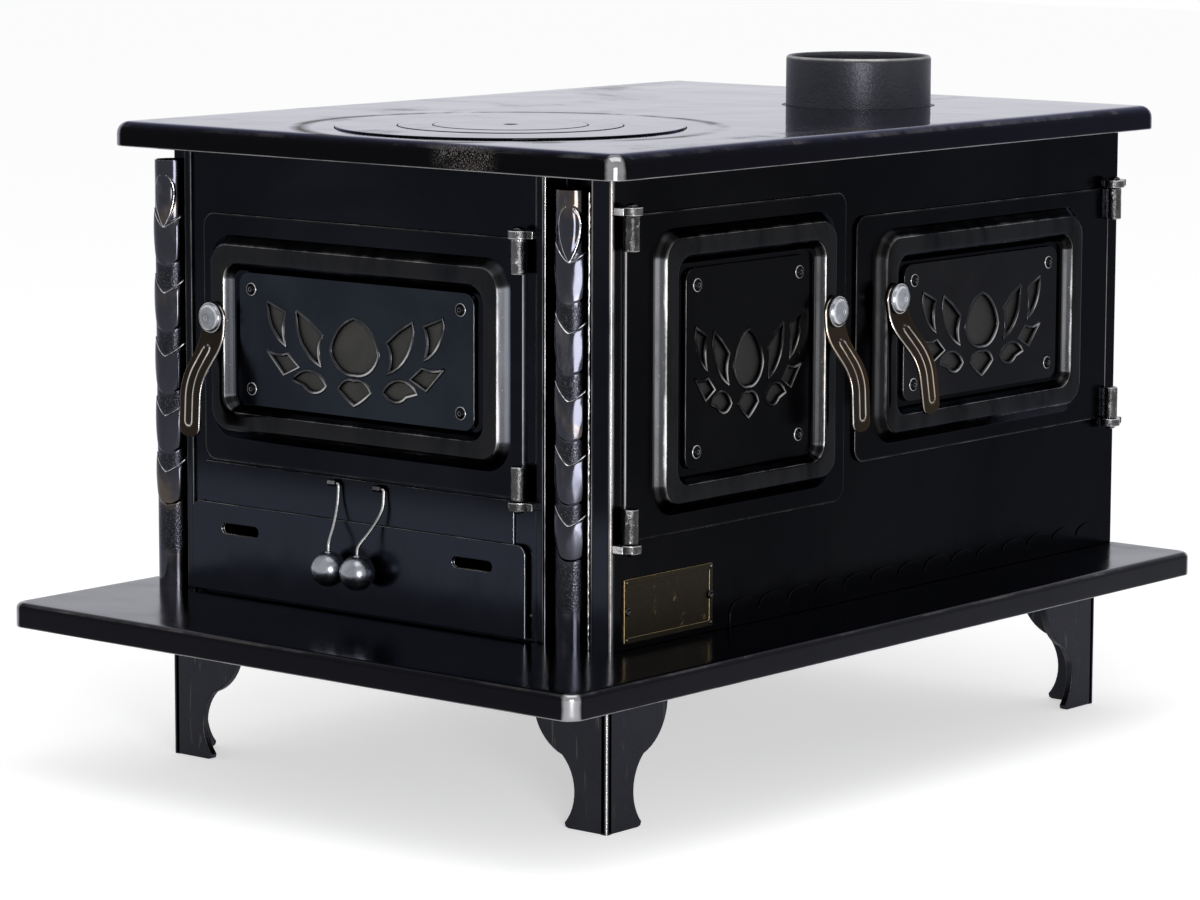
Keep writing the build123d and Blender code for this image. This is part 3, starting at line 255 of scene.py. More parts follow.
def tray_finish(name, film, sheen, shine, streak, stain, top, ring=0.0, slot="black_steel"):
    """sheen colours what the sheet mirrors when seen flat, a painted tint for the room's colour; top is its height;
    ring is the strength of its ring.
    """
    made = Finish(name, slot, Metallic=1.0, Specular_Tint=sheen, Specular_IOR_Level=0.0)
    cloud = made.noise(2.6, 6.0, 0.62, (1, 1.7, 1), 1.2)
    smear = made.noise(13.0, 7.0, 0.7, (1.0, 0.4, 1), 0.9)
    grit = made.noise(700.0, 4.0, 0.7)
    worn = made.stored()
    rubbed = (worn * (0.35 + 1.1 * smear)).above(0.50, 1.05)
    burnt = cloud.above(0.52, 0.74) * smear.above(0.42, 0.66) * stain
    if ring:
        off_ring = made.distance(RING_STAIN_AT, (1, 1, 0)) - RING_STAIN_R - 0.02 * cloud
        band = 1 - (off_ring.math("ABSOLUTE") * (1 / 0.011)).least(1.0)
        burnt = burnt.most(band * cloud.above(0.40, 0.54) * ring)
        scuff = made.distance(SCUFF_AT).above(0.045, 0.020) * 0.5
        rubbed = rubbed.most(grit.above(0.52, 0.60) * smear.above(0.42, 0.55) * scuff)
    burnt = burnt * made.height().above(top - 0.0016, top - 0.0004)
    dark = made.mix(burnt.above(0.1, 0.7), film, (0.042, 0.033, 0.026))
    # Wear past 0.95, on the upright corners and the lip's foot, stays neutral grey: rubbed steel and a painted
    # highlight.
    bright = made.mix(cloud.above(0.4, 0.6) * worn.above(0.95, 0.8), (0.26, 0.26, 0.27), (0.36, 0.32, 0.29))
    return made.surface(
        Base_Color=made.mix(rubbed, dark, bright),
        Metallic=1 - burnt,
        Roughness=(shine + streak * smear.above(0.45, 0.75) + streak * cloud.above(0.45, 0.7)).least(0.8),
        Normal=made.bump(made.noise(8.0, 2.0, 0.5) + grit * 0.003, 0.0010),
    )


# Lavender sheen on the cooktop, bluish on the hearth: a painted reflection of the room's colour.
cooktop_steel = tray_finish("heat_stained_cooktop", (0.0034, 0.0034, 0.0038), (0.675, 0.685, 0.825),
                            0.05, 0.075, 0.75, 0.627, 0.85, "cooktop_steel")
hearth_steel = tray_finish("hearth_sheet", (0.0060, 0.0060, 0.0078), (0.88, 0.89, 0.95), 0.17, 0.05, 0.2, 0.172)
print("cooktop and hearth ready")

# %% [markdown]
# ## Castings, bright metals and brass
# Castings are duller, with a fine sand skin. Knobs and balls are turned aluminium, the hinges are rough bright
# steel, and the name plate is old brass. The petals look through to a sheet that heat has turned grey-brown;
# behind the two front doors the same sheet is a much darker copy, painted shade for the stronger light there.


# %% Castings and bright metals
def casting_finish(name, film, shine, grain, scratches, grain_scale=420.0):
    made = Finish(name, "black_casting", Metallic=1.0, Specular_Tint=(0.7, 0.7, 0.75))
    skin = made.noise(grain_scale, warp=0.6)
    patch = made.noise(26.0)
    scratch = made.noise(70.0, 3.0, 0.5, (2.4, 2.4, 0.3), 0.5).above(0.62, 0.68)
    bare = (made.stored() * (0.50 + 0.9 * patch)).above(0.35, 0.95)
    rough = made.mix(scratch * scratches, made.mix(patch, film, scaled(film, 1.8)), (0.08, 0.078, 0.075))
    return made.surface(
        Base_Color=made.mix(bare, rough, (0.46, 0.45, 0.44)),
        Roughness=shine + 0.16 * patch + 0.08 * skin - 0.1 * bare,
        Normal=made.bump(skin + 0.5 * patch, grain),
    )


def bright_finish(name, colour, shine, grain, stretch, dirt, speck=0.0, slot="black_steel"):
    made = Finish(name, slot, Metallic=1.0)
    brush = made.noise(340.0, 5.0, stretch=stretch)
    haze = made.noise(38.0)
    bright = (made.stored() * (0.4 + 1.1 * haze)).above(0.45, 0.95).most(brush.above(0.60, 0.70) * speck)
    dull = made.mix(haze.above(0.30, 0.68), scaled(colour, dirt), colour)
    return made.surface(
        Base_Color=made.mix(bright, dull, (0.62, 0.62, 0.64)),
        Roughness=shine + 0.16 * brush + 0.10 * haze,
        Normal=made.bump(brush, grain),
    )


black_casting = casting_finish("satin_casting", (0.016, 0.0165, 0.020), 0.24, 0.0005, 0.5)
# The collar's film is about twice the legs': a painted brightening that stands in for the highlight the low lamp no
# longer gives it.
collar_casting = casting_finish("hammered_collar", (0.033, 0.034, 0.0395), 0.24, 0.0003, 0.0, 300.0)
grate_iron = casting_finish("raw_grate_casting", (0.09, 0.082, 0.075), 0.55, 0.0010, 0.3)
turned_aluminium = bright_finish("turned_aluminium", (0.30, 0.315, 0.35), 0.13, 0.00012, (0.3, 0.3, 1.0), 0.50,
                                 slot="polished_aluminium")
bright_wire = bright_finish("bright_wire", (0.34, 0.335, 0.34), 0.16, 0.00015, (1.0, 1.0, 0.2), 0.66,
                            slot="bright_wire")
barrel_steel = bright_finish("welded_hinge_steel", (0.085, 0.084, 0.086), 0.12, 0.0012, (0.5, 0.5, 0.5), 0.35, 0.6)
inner_steel = bright_finish("scaled_inner_sheet", (0.10, 0.095, 0.09), 0.42, 0.0004, (1.0, 1.0, 1.0), 0.45)
print("three castings and four bright metals ready")


# %% Posts, backing sheets and brass
def post_finish():
    """Polished leaves, with the knurled gaps between them, which are stored on the vertices."""
    made = Finish("polished_post", Metallic=1.0, Specular_Tint=(0.8, 0.82, 0.9))
    smear = made.noise(30.0, 5.0, stretch=(1.0, 1.0, 0.5), warp=0.4)
    cloud = made.noise(9.0, warp=0.5)
    gap = made.stored("knurl")
    dots = made.node("ShaderNodeTexVoronoi", {}, {"Vector": made.place(), "Scale": 700.0})
    rubbed = (made.stored() * (0.75 + 0.8 * smear)).above(0.40, 0.95)
    leaf = made.mix(cloud.above(0.48, 0.60), (0.031, 0.032, 0.040), (0.066, 0.054, 0.045))
    leaf = made.mix(smear.above(0.52, 0.68) * 0.6, leaf, (0.095, 0.094, 0.100))
    skin = made.mix(gap, leaf, (0.0150, 0.0158, 0.0200))
    return made.surface(
        Base_Color=made.mix(rubbed.most(gap * dots.above(0.60, 0.75) * 0.05), skin, (0.55, 0.55, 0.57)),
        Roughness=0.09 + 0.06 * smear + 0.13 * gap,
        Normal=made.bump(dots * gap * 0.35 + 0.2 * smear, 0.00045),
    )


def backing_finish(name, low, high):
    made = Finish(name, Specular_IOR_Level=0.24)
    tint = made.noise(22.0, warp=0.5)
    skin = made.noise(600.0, 4.0, 0.7)
    return made.surface(
        Base_Color=made.mix(tint.above(0.30, 0.70), low, high),
        Metallic=0.10 + 0.2 * tint,
        Roughness=0.34 + 0.2 * skin,
        Normal=made.bump(skin, 0.0003),
    )


def brass_finish():
    made = Finish("dark_brass", "dark_brass", Specular_IOR_Level=0.15)
    age = made.noise(60.0, 6.0, 0.7, warp=0.8)
    fine = made.noise(500.0, 3.0)
    rim = (made.stored() * (0.6 + 0.8 * age)).above(0.25, 0.95)
    return made.surface(
        Base_Color=made.mix(rim.most(age.above(0.60, 0.75) * 0.35), (0.0118, 0.0088, 0.0040), (0.42, 0.32, 0.16)),
        Metallic=0.75 + 0.25 * rim,
        Roughness=0.24 + 0.2 * age + 0.1 * fine,
        Normal=made.bump(age + 0.3 * fine, 0.0004),
    )


post_steel = post_finish()
end_backing = backing_finish("heat_tinted_backing", (0.0175, 0.0175, 0.0172), (0.031, 0.0295, 0.027))
# The front doors' backing is the same sheet made much darker: painted shade, as the front gets more light.
shaded_front_backing = backing_finish("painted_shade_backing", (0.0026, 0.0026, 0.0026), (0.0050, 0.0047, 0.0043))
dark_brass = brass_finish()
print("materials so far:", len(bpy.data.materials))

# %% [markdown]
# ## From loops to pieces
# Pressed sheet is easiest to think of as a stack of loops: each loop is an outline at one height, and faces join
# it to the next. A shape that is turned is a stack of circles. Both go through the same few lines, in the
# stove's millimetres, and a matrix puts them on their face of the body. A shape is its points, its faces and
# the wear of each point, so shapes can be moved and joined before they become one piece.

# %% Millimetres, and the two dressed faces
MM = 0.001
BODY_LEFT, BODY_FRONT, BODY_RIGHT, BODY_REAR = -339.5, -255.5, 480.5, 324.5
HEARTH_TOP, BODY_TOP, COOKTOP_TOP = 172.0, 622.0, 627.0
SHEET = 3.0
IN_METRES = Matrix.Scale(MM, 4)


def face_matrix(face, u=0.0, v=0.0):
    """Along the face, up it, and out of it, in millimetres, to the stove's metres."""
    along, out, start = {
        "end": ((0, -1, 0), (-1, 0, 0), (BODY_LEFT, -u, v)),
        "front": ((1, 0, 0), (0, -1, 0), (u, BODY_FRONT, v)),
    }[face]
    up = Vector(out).cross(Vector(along))
    return IN_METRES @ Matrix.Translation(start) @ Matrix((along, up, out)).transposed().to_4x4()


END_FACE, FRONT_FACE = face_matrix("end"), face_matrix("front")
print("end face at", END_FACE.translation[:], "front face at", FRONT_FACE.translation[:])


# %% Making one piece
def dress(made, body, finish, replaces=(), sharp=38.0):
    """Links the object, shades it, gives it its finish, parents it to its body and hides the CAD nodes it replaces."""
    scene.collection.objects.link(made)
    made.data.shade_smooth()
    made.data.set_sharp_from_angle(angle=math.radians(sharp))
    made.modifiers.new("even_shading", "WEIGHTED_NORMAL").keep_sharp = True
    made.data.materials.clear()
    made.data.materials.append(finish.material)
    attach(made, body)
    if replaces:
        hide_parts(*replaces)
    return made


def piece(name, shape, body, finish, replaces=(), matrix=IN_METRES, sharp=38.0, **layers):
    """A mesh piece in place, from a shape or a list of them, with its wear and any more layers of its points."""
    points, faces, wear = joined(shape) if isinstance(shape, list) else shape
    mesh = bpy.data.meshes.new(name)
    mesh.from_pydata([tuple(p) for p in points], [], faces)
    mesh.validate()
    mesh.transform(matrix)
    for layer, values in {"wear": wear, **layers}.items():
        mesh.attributes.new(layer, "FLOAT", "POINT").data.foreach_set("value", [float(v) for v in values])
    tidy = bmesh.new()
    tidy.from_mesh(mesh)
    bmesh.ops.remove_doubles(tidy, verts=tidy.verts, dist=1e-6)
    bmesh.ops.recalc_face_normals(tidy, faces=tidy.faces)
    tidy.to_mesh(mesh)
    tidy.free()
    return dress(bpy.data.objects.new(name, mesh), body, finish, replaces, sharp)


# %% Loops, lofts and turned shapes
def rect_loop(u0, u1, v0, v1, radii, w=0.0, steps=8):
    """A rectangle with its own radius at each corner, from the low left corner round."""
    corners = [(u0, v0, 1, 1), (u1, v0, -1, 1), (u1, v1, -1, -1), (u0, v1, 1, -1)]
    radii = radii if isinstance(radii, (tuple, list)) else (radii,) * 4
    loop = []
    for quarter, ((u, v, su, sv), radius) in enumerate(zip(corners, radii)):
        for step in range(steps + 1):
            turn = math.pi * (1 + 0.5 * quarter) + 0.5 * math.pi * step / steps
            loop.append((u + su * radius + radius * math.cos(turn),
                         v + sv * radius + radius * math.sin(turn), w))
    return loop


def around(u, v, half_u, half_v, radii, w=0.0, steps=8):
    """The same about its middle."""
    return rect_loop(u - half_u, u + half_u, v - half_v, v + half_v, radii, w, steps)


def circle(centre, radius, height, steps):
    return [(centre[0] + radius * math.cos(2 * math.pi * k / steps),
             centre[1] + radius * math.sin(2 * math.pi * k / steps), height) for k in range(steps)]


def loft(loops, wear, caps=True):
    """A shape of faces between loops of equal length, with the ends filled. wear: a number or a list each."""
    count, rows = len(loops[0]), len(loops)
    faces = [(row + k, row + (k + 1) % count, row + count + (k + 1) % count, row + count + k)
             for row in range(0, (rows - 1) * count, count) for k in range(count)]
    if caps:
        faces += [tuple(reversed(range(count))), tuple(range((rows - 1) * count, rows * count))]
    return ([p for loop in loops for p in loop], faces,
            [w for worn in wear for w in (worn if isinstance(worn, list) else [worn] * count)])


def lathe(profile, steps, matrix=None, centre=(0, 0), ring=False):
    """Turned shape of (radius, height, wear) rows. A ring closes on itself and has no middle."""
    rows = profile + profile[:1] if ring else profile
    shape = loft([circle(centre, r, h, steps) for r, h, _ in rows], [worn for _, _, worn in rows], not ring)
    return moved(shape, matrix) if matrix else shape


def soften(points, radius, steps=4):
    """Rounds the inner corners of an open line of (x, y, wear) points."""
    line = [points[0]]
    for before, here, after in zip(points, points[1:], points[2:]):
        a, b, c = Vector(before[:2]), Vector(here[:2]), Vector(after[:2])
        cut = min(radius, (a - b).length * 0.45, (c - b).length * 0.45)
        start, end = b + (a - b).normalized() * cut, b + (c - b).normalized() * cut
        for t in [step / steps for step in range(steps + 1)]:
            spot = (1 - t) ** 2 * start + 2 * t * (1 - t) * b + t * t * end
            line.append((spot.x, spot.y, here[2]))
    return line + [points[-1]]


def joined(shapes):
    points, faces, wear = [], [], []
    for some_points, some_faces, some_wear in shapes:
        shift = len(points)
        points += some_points
        faces += [tuple(index + shift for index in face) for face in some_faces]
        wear += some_wear
    return points, faces, wear


def moved(shape, matrix):
    return [tuple(matrix @ Vector(p)) for p in shape[0]], shape[1], shape[2]


def dimmed(shape, share):
    """The same shape with only a share of its wear."""
    return shape[0], shape[1], [share * worn for worn in shape[2]]


print("loop helpers ready:", len(rect_loop(0, 1, 0, 1, 0.2)), "points in a rounded rectangle")

# %% [markdown]
# ## Cut and bevelled plates
# Decor plates, legs and fronts are cut from flat stock, so they are drawn as flat curves: Blender fills a 2D
# curve, leaves its inner splines open as holes, and rounds the cut edge with a bevel. The result is turned into a
# mesh, and the rounded part of the edge gets the wear. Wires are curves with a round bevel, made the same way.


# %% A plate from outlines
def curve_mesh(name, dimensions, spline_type, lines, settings):
    """The mesh of a curve of closed outlines (2D) or one open line (3D)."""
    curve = bpy.data.curves.new(name, "CURVE")
    curve.dimensions = dimensions
    for key, value in settings.items():
        setattr(curve, key, value)
    for line in lines:
        spline = curve.splines.new(spline_type)
        spline.points.add(len(line) - 1)
        for point, spot in zip(spline.points, line):
            point.co = (*spot, 1)
        if dimensions == "2D":
            spline.use_cyclic_u = True
        else:
            spline.order_u, spline.use_endpoint_u, spline.resolution_u = 3, True, 8
    holder = bpy.data.objects.new(name, curve)
    scene.collection.objects.link(holder)
    mesh = bpy.data.meshes.new_from_object(holder.evaluated_get(bpy.context.evaluated_depsgraph_get()))
    bpy.data.objects.remove(holder)
    bpy.data.curves.remove(curve)
    mesh.name = name
    return mesh


def plate(outlines, low, high, edge):
    """Flat plate with holes between two heights, its cut edges rounded and worn."""
    mesh = curve_mesh("outline", "2D", "POLY", [[(spot[0], spot[1], 0) for spot in line] for line in outlines],
                      {"fill_mode": "BOTH", "extrude": (high - low) / 2 - edge, "bevel_depth": edge,
                       "bevel_resolution": 3, "offset": -edge})
    points = [(p.co.x, p.co.y, p.co.z + (low + high) / 2) for p in mesh.vertices]
    faces = [tuple(f.vertices) for f in mesh.polygons]
    bpy.data.meshes.remove(mesh)
    return points, faces, [1.0 if low + edge * 0.4 < p[2] < high - edge * 0.12 else 0.0 for p in points]


def arc(start, middle, end, steps=8):
    """Points of the arc through three points, without its last one."""
    a, b, c = Vector(start), Vector(middle), Vector(end)
    across = 2 * (a.x * (b.y - c.y) + b.x * (c.y - a.y) + c.x * (a.y - b.y))
    ux = (a.length_squared * (b.y - c.y) + b.length_squared * (c.y - a.y) + c.length_squared * (a.y - b.y))
    uy = (a.length_squared * (c.x - b.x) + b.length_squared * (a.x - c.x) + c.length_squared * (b.x - a.x))
    centre = Vector((ux / across, uy / across))
    turns = [math.atan2(p.y - centre.y, p.x - centre.x) for p in (a, b, c)]
    sweep = (turns[2] - turns[0]) % (2 * math.pi)
    if (turns[1] - turns[0]) % (2 * math.pi) > sweep:
        sweep -= 2 * math.pi
    radius = (a - centre).length
    return [(centre.x + radius * math.cos(turns[0] + sweep * k / steps),
             centre.y + radius * math.sin(turns[0] + sweep * k / steps)) for k in range(steps)]


def clockwise(outline):
    """Holes run clockwise, whatever way they were drawn."""
    area = sum(a[0] * b[1] - b[0] * a[1] for a, b in zip(outline, outline[1:] + outline[:1]))
    return outline[::-1] if area > 0 else outline


print("plate helper ready")

# %% [markdown]
# ## The hearth tray
# On the real stove this is one pressed sheet with its edge turned down. A box would show a hard edge, so the
# tray is a stack of loops that runs up the lip, round the bend and on to the flat top, and back underneath.

# %% Rolled trays
BEND_STEPS = 5
FLAT_RUN = 10.0
BEND_WEAR, CORNER_WEAR_AND_HIGHLIGHT = 0.68, 1.15
HEARTH_BOX, HEARTH_LOW = (-509.5, 486.5, -353.5, 353.5), 148.0


def bend(radius, top):
    """(inset, height, wear) down a rounded edge, from the flat top to the side."""
    turns = [0.5 * math.pi * step / BEND_STEPS for step in range(BEND_STEPS + 1)]
    return [(radius * (1 - math.sin(t)), top - radius * (1 - math.cos(t)), BEND_WEAR * math.sin(2 * t) ** 2)
            for t in turns]


def tray_section(radius, top, low, sheet):
    """Half section of a pressed tray, from the middle of its top round to the middle below."""
    outside = [(radius + FLAT_RUN, top, 0.0)] + bend(radius, top) + [(0, low + 5.0, 0.0)]
    lip = [(0, low + 1.7, 0.4), (0.4, low + 0.4, 1.15), (1.4, low, 1.0), (sheet - 0.8, low, 0.4),
           (sheet, low + 0.8, 0.2)]
    inside = [(sheet + inset, height, 0.0)
              for inset, height, _ in reversed(bend(max(radius - sheet, 1.0), top - sheet))]
    return outside + lip + inside + [(radius + FLAT_RUN, top - sheet, 0.0)]


def tray_loops(box, corner_r, section):
    """Loops of a tray and the wear of each. Its upright corners are rubbed bright, and that wear also paints the
    highlight on the rounded corner.
    """
    x0, x1, y0, y1 = box
    loops, wear = [], []
    for inset, height, worn in section:
        loops.append(rect_loop(x0 + inset, x1 - inset, y0 + inset, y1 - inset,
                               max(corner_r - inset, 1.5), height))
        # extra wear on the upright corners: rubbing, and a painted highlight
        corner = CORNER_WEAR_AND_HIGHLIGHT if inset < corner_r * 0.6 else 0
        wear.append([max(worn, corner * min(1.9 * (1 - abs(step % 9 - 4) / 4.6), 1.0))
                     for step in range(len(loops[-1]))])
    return loops, wear


hearth_loops = tray_loops(HEARTH_BOX, 15.0, tray_section(6.0, HEARTH_TOP, HEARTH_LOW, 4.0))
hearth = piece("hearth_tray", loft(*hearth_loops), "stove", hearth_steel, ["base_plate"])
print("hearth tray:", len(hearth.data.polygons), "faces")

# %% [markdown]
# ## The cooktop
# The cooktop has a deeper, rounder lip, and two holes: one with a stepped seat for the loose rings, one for the
# flue collar. Its flat part is filled between the outer loop and the hole loops, above and below.

# %% Cooktop with its seat
RINGS_AT, FLUE_AT = (-167.5, 12.5), (310.5, -47.5)
ROUND = 96
COOKTOP_BOX, COOKTOP_LOW = (-368.5, 509.5, -284.5, 353.5), 603.0
SEAT = [(171.0, 627.0, 0), (169.7, 627.0, 0), (169.1, 626.6, 0.8), (169.0, 625.6, 0), (169.0, 619.2, 0),
        (158.0, 619.0, 0), (158.0, 615.0, 0), (171.0, 615.0, 0), (171.0, 622.0, 0)]
COLLAR_HOLE = [(81.0, 627.0, 0), (79.4, 627.0, 0), (78.7, 626.7, 0.8), (78.5, 625.9, 0), (78.5, 622.0, 0)]


def fill_between(points, loops):
    """Triangles of a flat sheet between an outer loop and hole loops, as index triples."""
    flat = bmesh.new()
    index = {}
    for loop in loops:
        made = [flat.verts.new(points[k]) for k in loop]
        index.update(zip(made, loop))
        for a, b in zip(made, made[1:] + made[:1]):
            flat.edges.new((a, b))
    bmesh.ops.triangle_fill(flat, use_beauty=True, edges=flat.edges)
    triangles = [tuple(index[vert] for vert in face.verts) for face in flat.faces]
    flat.free()
    return triangles


top_loops, top_wear = tray_loops(COOKTOP_BOX, 16.5, tray_section(12.0, COOKTOP_TOP, COOKTOP_LOW, 5.0))
sheets = [loft(top_loops, top_wear, caps=False)]
for centre, rows in ((RINGS_AT, SEAT), (FLUE_AT, COLLAR_HOLE)):
    sheets.append(loft([circle(centre, r, h, ROUND) for r, h, _ in rows], [worn for _, _, worn in rows], caps=False))
points, faces, wear = joined(sheets)
tops, lows, start = [], [], 0
for sheet, size in zip(sheets, (len(top_loops[0]), ROUND, ROUND)):
    end = start + len(sheet[0])
    tops.append(list(range(start, start + size)))
    lows.append(list(range(end - size, end)))
    start = end
faces += fill_between(points, tops) + fill_between(points, lows)
piece("cooktop", (points, faces, wear), "stove", cooktop_steel, ["top_plate"])
print("cooktop:", len(faces), "faces")

# %% [markdown]
# ## Rings, lid and flue collar
# The rings and the lid are turned plates that drop into one another, so they are lathe shapes with small rounded
# arrises: the dark line between them is the real 1 mm gap. The collar is a short cast tube with a rounded rim.

# %% Turned pieces on the cooktop
RING_WEAR = 0.55
FOOT_LOW, STEP = 619.0, 623.0


def stepped_ring(outer, inner, foot_outer, foot_inner, top):
    """Section of a ring: its foot hangs in the ring outside it, its step carries the next one."""
    shoulder = STEP if foot_outer < outer else STEP - 0.1
    return [(foot_outer, FOOT_LOW, 0), (foot_outer, shoulder, 0), (outer, STEP, 0), (outer, top - 0.6, 0),
            (outer - 0.2, top - 0.2, RING_WEAR), (outer - 0.8, top, 0.2), (outer - 2.5, top, 0),
            (inner + 2.5, top, 0), (inner + 0.9, top, 0.2), (inner + 0.25, top - 0.25, RING_WEAR),
            (inner, top - 0.9, 0), (inner, STEP, 0), (foot_inner, STEP, 0), (foot_inner, FOOT_LOW, 0)]


LID = [(0.02, FOOT_LOW, 0), (63.0, FOOT_LOW, 0), (63.0, STEP, 0), (74.0, STEP, 0), (74.0, 628.9, 0),
       (73.8, 629.3, RING_WEAR), (73.1, 629.5, 0.2), (71.0, 629.5, 0), (9.0, 629.5, 0), (7.0, 629.4, 0.3),
       (5.4, 628.6, 0.3), (3.6, 627.9, 0.1), (0.02, 627.7, 0)]
COLLAR = [(67.5, 616.0, 0), (90.5, 616.0, 0), (90.5, 622.0, 0), (78.0, 622.0, 0), (78.0, 626.9, 0),
          (74.5, 627.0, 0), (74.5, 630.0, 0), (74.4, 665.0, 0), (74.4, 673.6, 0.05), (74.2, 675.8, 0.55),
          (73.3, 677.4, 0.8), (71.8, 678.0, 0.5), (70.2, 678.0, 0.35), (68.6, 677.5, 0.5), (67.8, 676.2, 0.3),
          (67.5, 673.5, 0), (67.5, 660.0, 0)]
for name, body, finish, node, centre, profile in (
        ("outer_cooking_ring", "outer_ring", cooktop_steel, "outer_ring", RINGS_AT,
         stepped_ring(168.0, 109.0, 168.0, 98.0, 628.7)),
        ("inner_cooking_ring", "inner_ring", cooktop_steel, "inner_ring", RINGS_AT,
         stepped_ring(108.0, 75.0, 97.0, 64.0, 629.2)),
        ("cooking_lid", "lid", cooktop_steel, "lid", RINGS_AT, LID),
        ("flue_spigot_collar", "stove", collar_casting, "flue_collar", FLUE_AT, COLLAR)):
    piece(name, lathe(profile, ROUND, centre=centre, ring=profile is not LID), body, finish, [node])
print("four turned pieces on the cooktop")

# %% [markdown]
# ## Legs
# Each leg is a casting of two flanges that meet in an upright corner, cut to the same curved outline. One leg's
# flanges are plates from that outline, and the other three are its mirror images. A rounded strip down the
# corner joins the flanges, because that is where boots and brooms keep the casting bright; its full wear also
# paints the highlight that rounded corner catches.

# %% Four legs
LEG_OUTLINE = ([(0, 0), (46, 0), (49.8, 1.2), (51, 5)] + arc((51, 5), (40, 42), (54, 68), 12)
               + arc((54, 68), (79, 86), (89, 113), 10) + [(89, 113), (89, 168), (0, 168)])
LEG_X, LEG_Y, LEG_THICK, LEG_CORNER_R = BODY_LEFT + 10.0, BODY_FRONT + 12.0, 8.0, 1.3
CORNER_PROUD, CORNER_HEIGHTS = 0.06, (0.4, 4.0, 84.0, 167.8)
MIDDLE_X, MIDDLE_Y = (BODY_LEFT + BODY_RIGHT) / 2, (BODY_FRONT + BODY_REAR) / 2


def leg_shape():
    """Two flanges and the bright corner between them, for the front left leg."""
    flange = dimmed(plate([LEG_OUTLINE], -LEG_THICK, 0.0, 1.4), 0.42)
    front = Matrix(((1, 0, 0, LEG_X), (0, 0, -1, LEG_Y), (0, 1, 0, 0), (0, 0, 0, 1)))
    end = Matrix(((0, 0, -1, LEG_X), (1, 0, 0, LEG_Y), (0, 1, 0, 0), (0, 0, 0, 1)))
    loops = []
    for z in CORNER_HEIGHTS:
        rounded = [(LEG_X + LEG_CORNER_R * (1 - math.sin(t)) - CORNER_PROUD,
                    LEG_Y + LEG_CORNER_R * (1 - math.cos(t)) - CORNER_PROUD, z)
                   for t in [0.5 * math.pi * k / 6 for k in range(7)]]
        loops.append([(LEG_X + 3.0, LEG_Y - 0.02, z)] + rounded
                     + [(LEG_X - 0.02, LEG_Y + 3.0, z), (LEG_X + 6.0, LEG_Y + 6.0, z)])
    # full wear down the corner: rubbing, and a painted highlight
    corner_wear_and_highlight = [0.0, 0.5, 0.9, 1.0, 1.0, 1.0, 0.9, 0.5, 0.0, 0.0]
    return joined([moved(flange, front), moved(flange, end), loft(loops, [corner_wear_and_highlight] * len(loops))])


leg_points, leg_faces, leg_wear = leg_shape()
for side, mirror_x in (("left", False), ("right", True)):
    for row, mirror_y in (("front", False), ("rear", True)):
        placed = [(2 * MIDDLE_X - x if mirror_x else x, 2 * MIDDLE_Y - y if mirror_y else y, z)
                  for x, y, z in leg_points]
        piece(f"cast_leg_{row}_{side}", (placed, leg_faces, leg_wear), "stove", black_casting,
              [f"leg_{row}_{side}"])
print("legs: 4 of", len(leg_faces), "faces")

# %% [markdown]
# ## Doors, pressed from one sheet
# A door leaf is one sheet with a raised bead pressed all round a sunk middle. The press leaves soft bends at the
# foot and at both sides of the ridge, and the ridge's edges are rubbed bright. So the leaf is lofted from loops
# that run from the sheet's edge over the bead into the recess, and back the same way 3 mm behind.

# %% Pressed leaf
LEAF_LOW, LEAF_FACE = 0.3, 3.3
HINGE_SIDE_R, FREE_SIDE_R, HINGE_EDGE_WEAR = 2.0, 14.0, 1.15
BEAD_RISE, BEAD_RUNS, BEAD_RADII = 12.0, (0.0, 12.0, 25.0, 34.0), (30.0, 18.0, 19.0, 10.0)
DOORS = {
    "fire_door": {
        "face": "end", "steel": end_steel, "plate": end_plate_steel, "at": (-51.5, 425.0),
        "leaf": (-201.0, 206.0, -122.0, 118.0), "bead": (384.0, 198.0), "mouth": (188.0, 95.0),
        "decor": (299.0, 128.0), "flower": (113.0, 53.0), "hinge": 1, "arm": 17.5,
        "latch_in": 18.0, "latch_dv": 19.0, "tilt": -3.0},
    "side_door": {
        "face": "front", "steel": black_steel, "plate": black_steel, "at": (-148.5, 422.0),
        "leaf": (-175.0, 156.0, -150.0, 147.0), "bead": (276.0, 264.0), "mouth": (134.0, 128.0),
        "decor": (186.0, 186.0), "flower": (80.0, 53.0), "hinge": -1, "arm": -14.0,
        "latch_in": 19.0, "latch_dv": 37.0, "tilt": 3.0},
    "oven_door": {
        "face": "front", "steel": black_steel, "plate": oven_plate_steel, "at": (229.0, 425.0),
        "leaf": (-204.5, 230.5, -119.0, 119.0), "bead": (355.0, 210.0), "mouth": (173.5, 101.0),
        "decor": (263.0, 134.0), "flower": (101.5, 53.0), "hinge": 1, "arm": 19.0,
        "latch_in": 18.0, "latch_dv": 38.0, "tilt": 11.0},
}


def bead_radius(inset):
    for low, high, r0, r1 in zip(BEAD_RUNS, BEAD_RUNS[1:], BEAD_RADII, BEAD_RADII[1:]):
        if inset <= high:
            return r0 + (r1 - r0) * (inset - low) / (high - low)
    return max(BEAD_RADII[-1] - (inset - BEAD_RUNS[-1]), 4.0)


def bead_section():
    """(inset, height above the leaf, wear) across the bead: bright crests, and slopes a hand reaches, whose wear also
    paints their satin sheen.
    """
    line = [(-4.0, 0, 0), (0.0, 0, 0), (11.4, BEAD_RISE - 0.2, 0), (18.5, BEAD_RISE, 0),
            (25.6, BEAD_RISE - 0.2, 0), (34.0, 0, 0), (38.5, 0, 0)]
    section = []
    for inset, height, _ in soften(line, 5.2, 6):
        crest = 1.0 * math.exp(-((inset - 9.6) / 0.7) ** 2) + 0.85 * math.exp(-((inset - 27.0) / 0.9) ** 2)
        slope = 0.24 if 2.5 < height < BEAD_RISE - 0.6 else 0.17 if height > 6 else 0.0
        section.append((inset, height, max(crest, slope)))
    return section


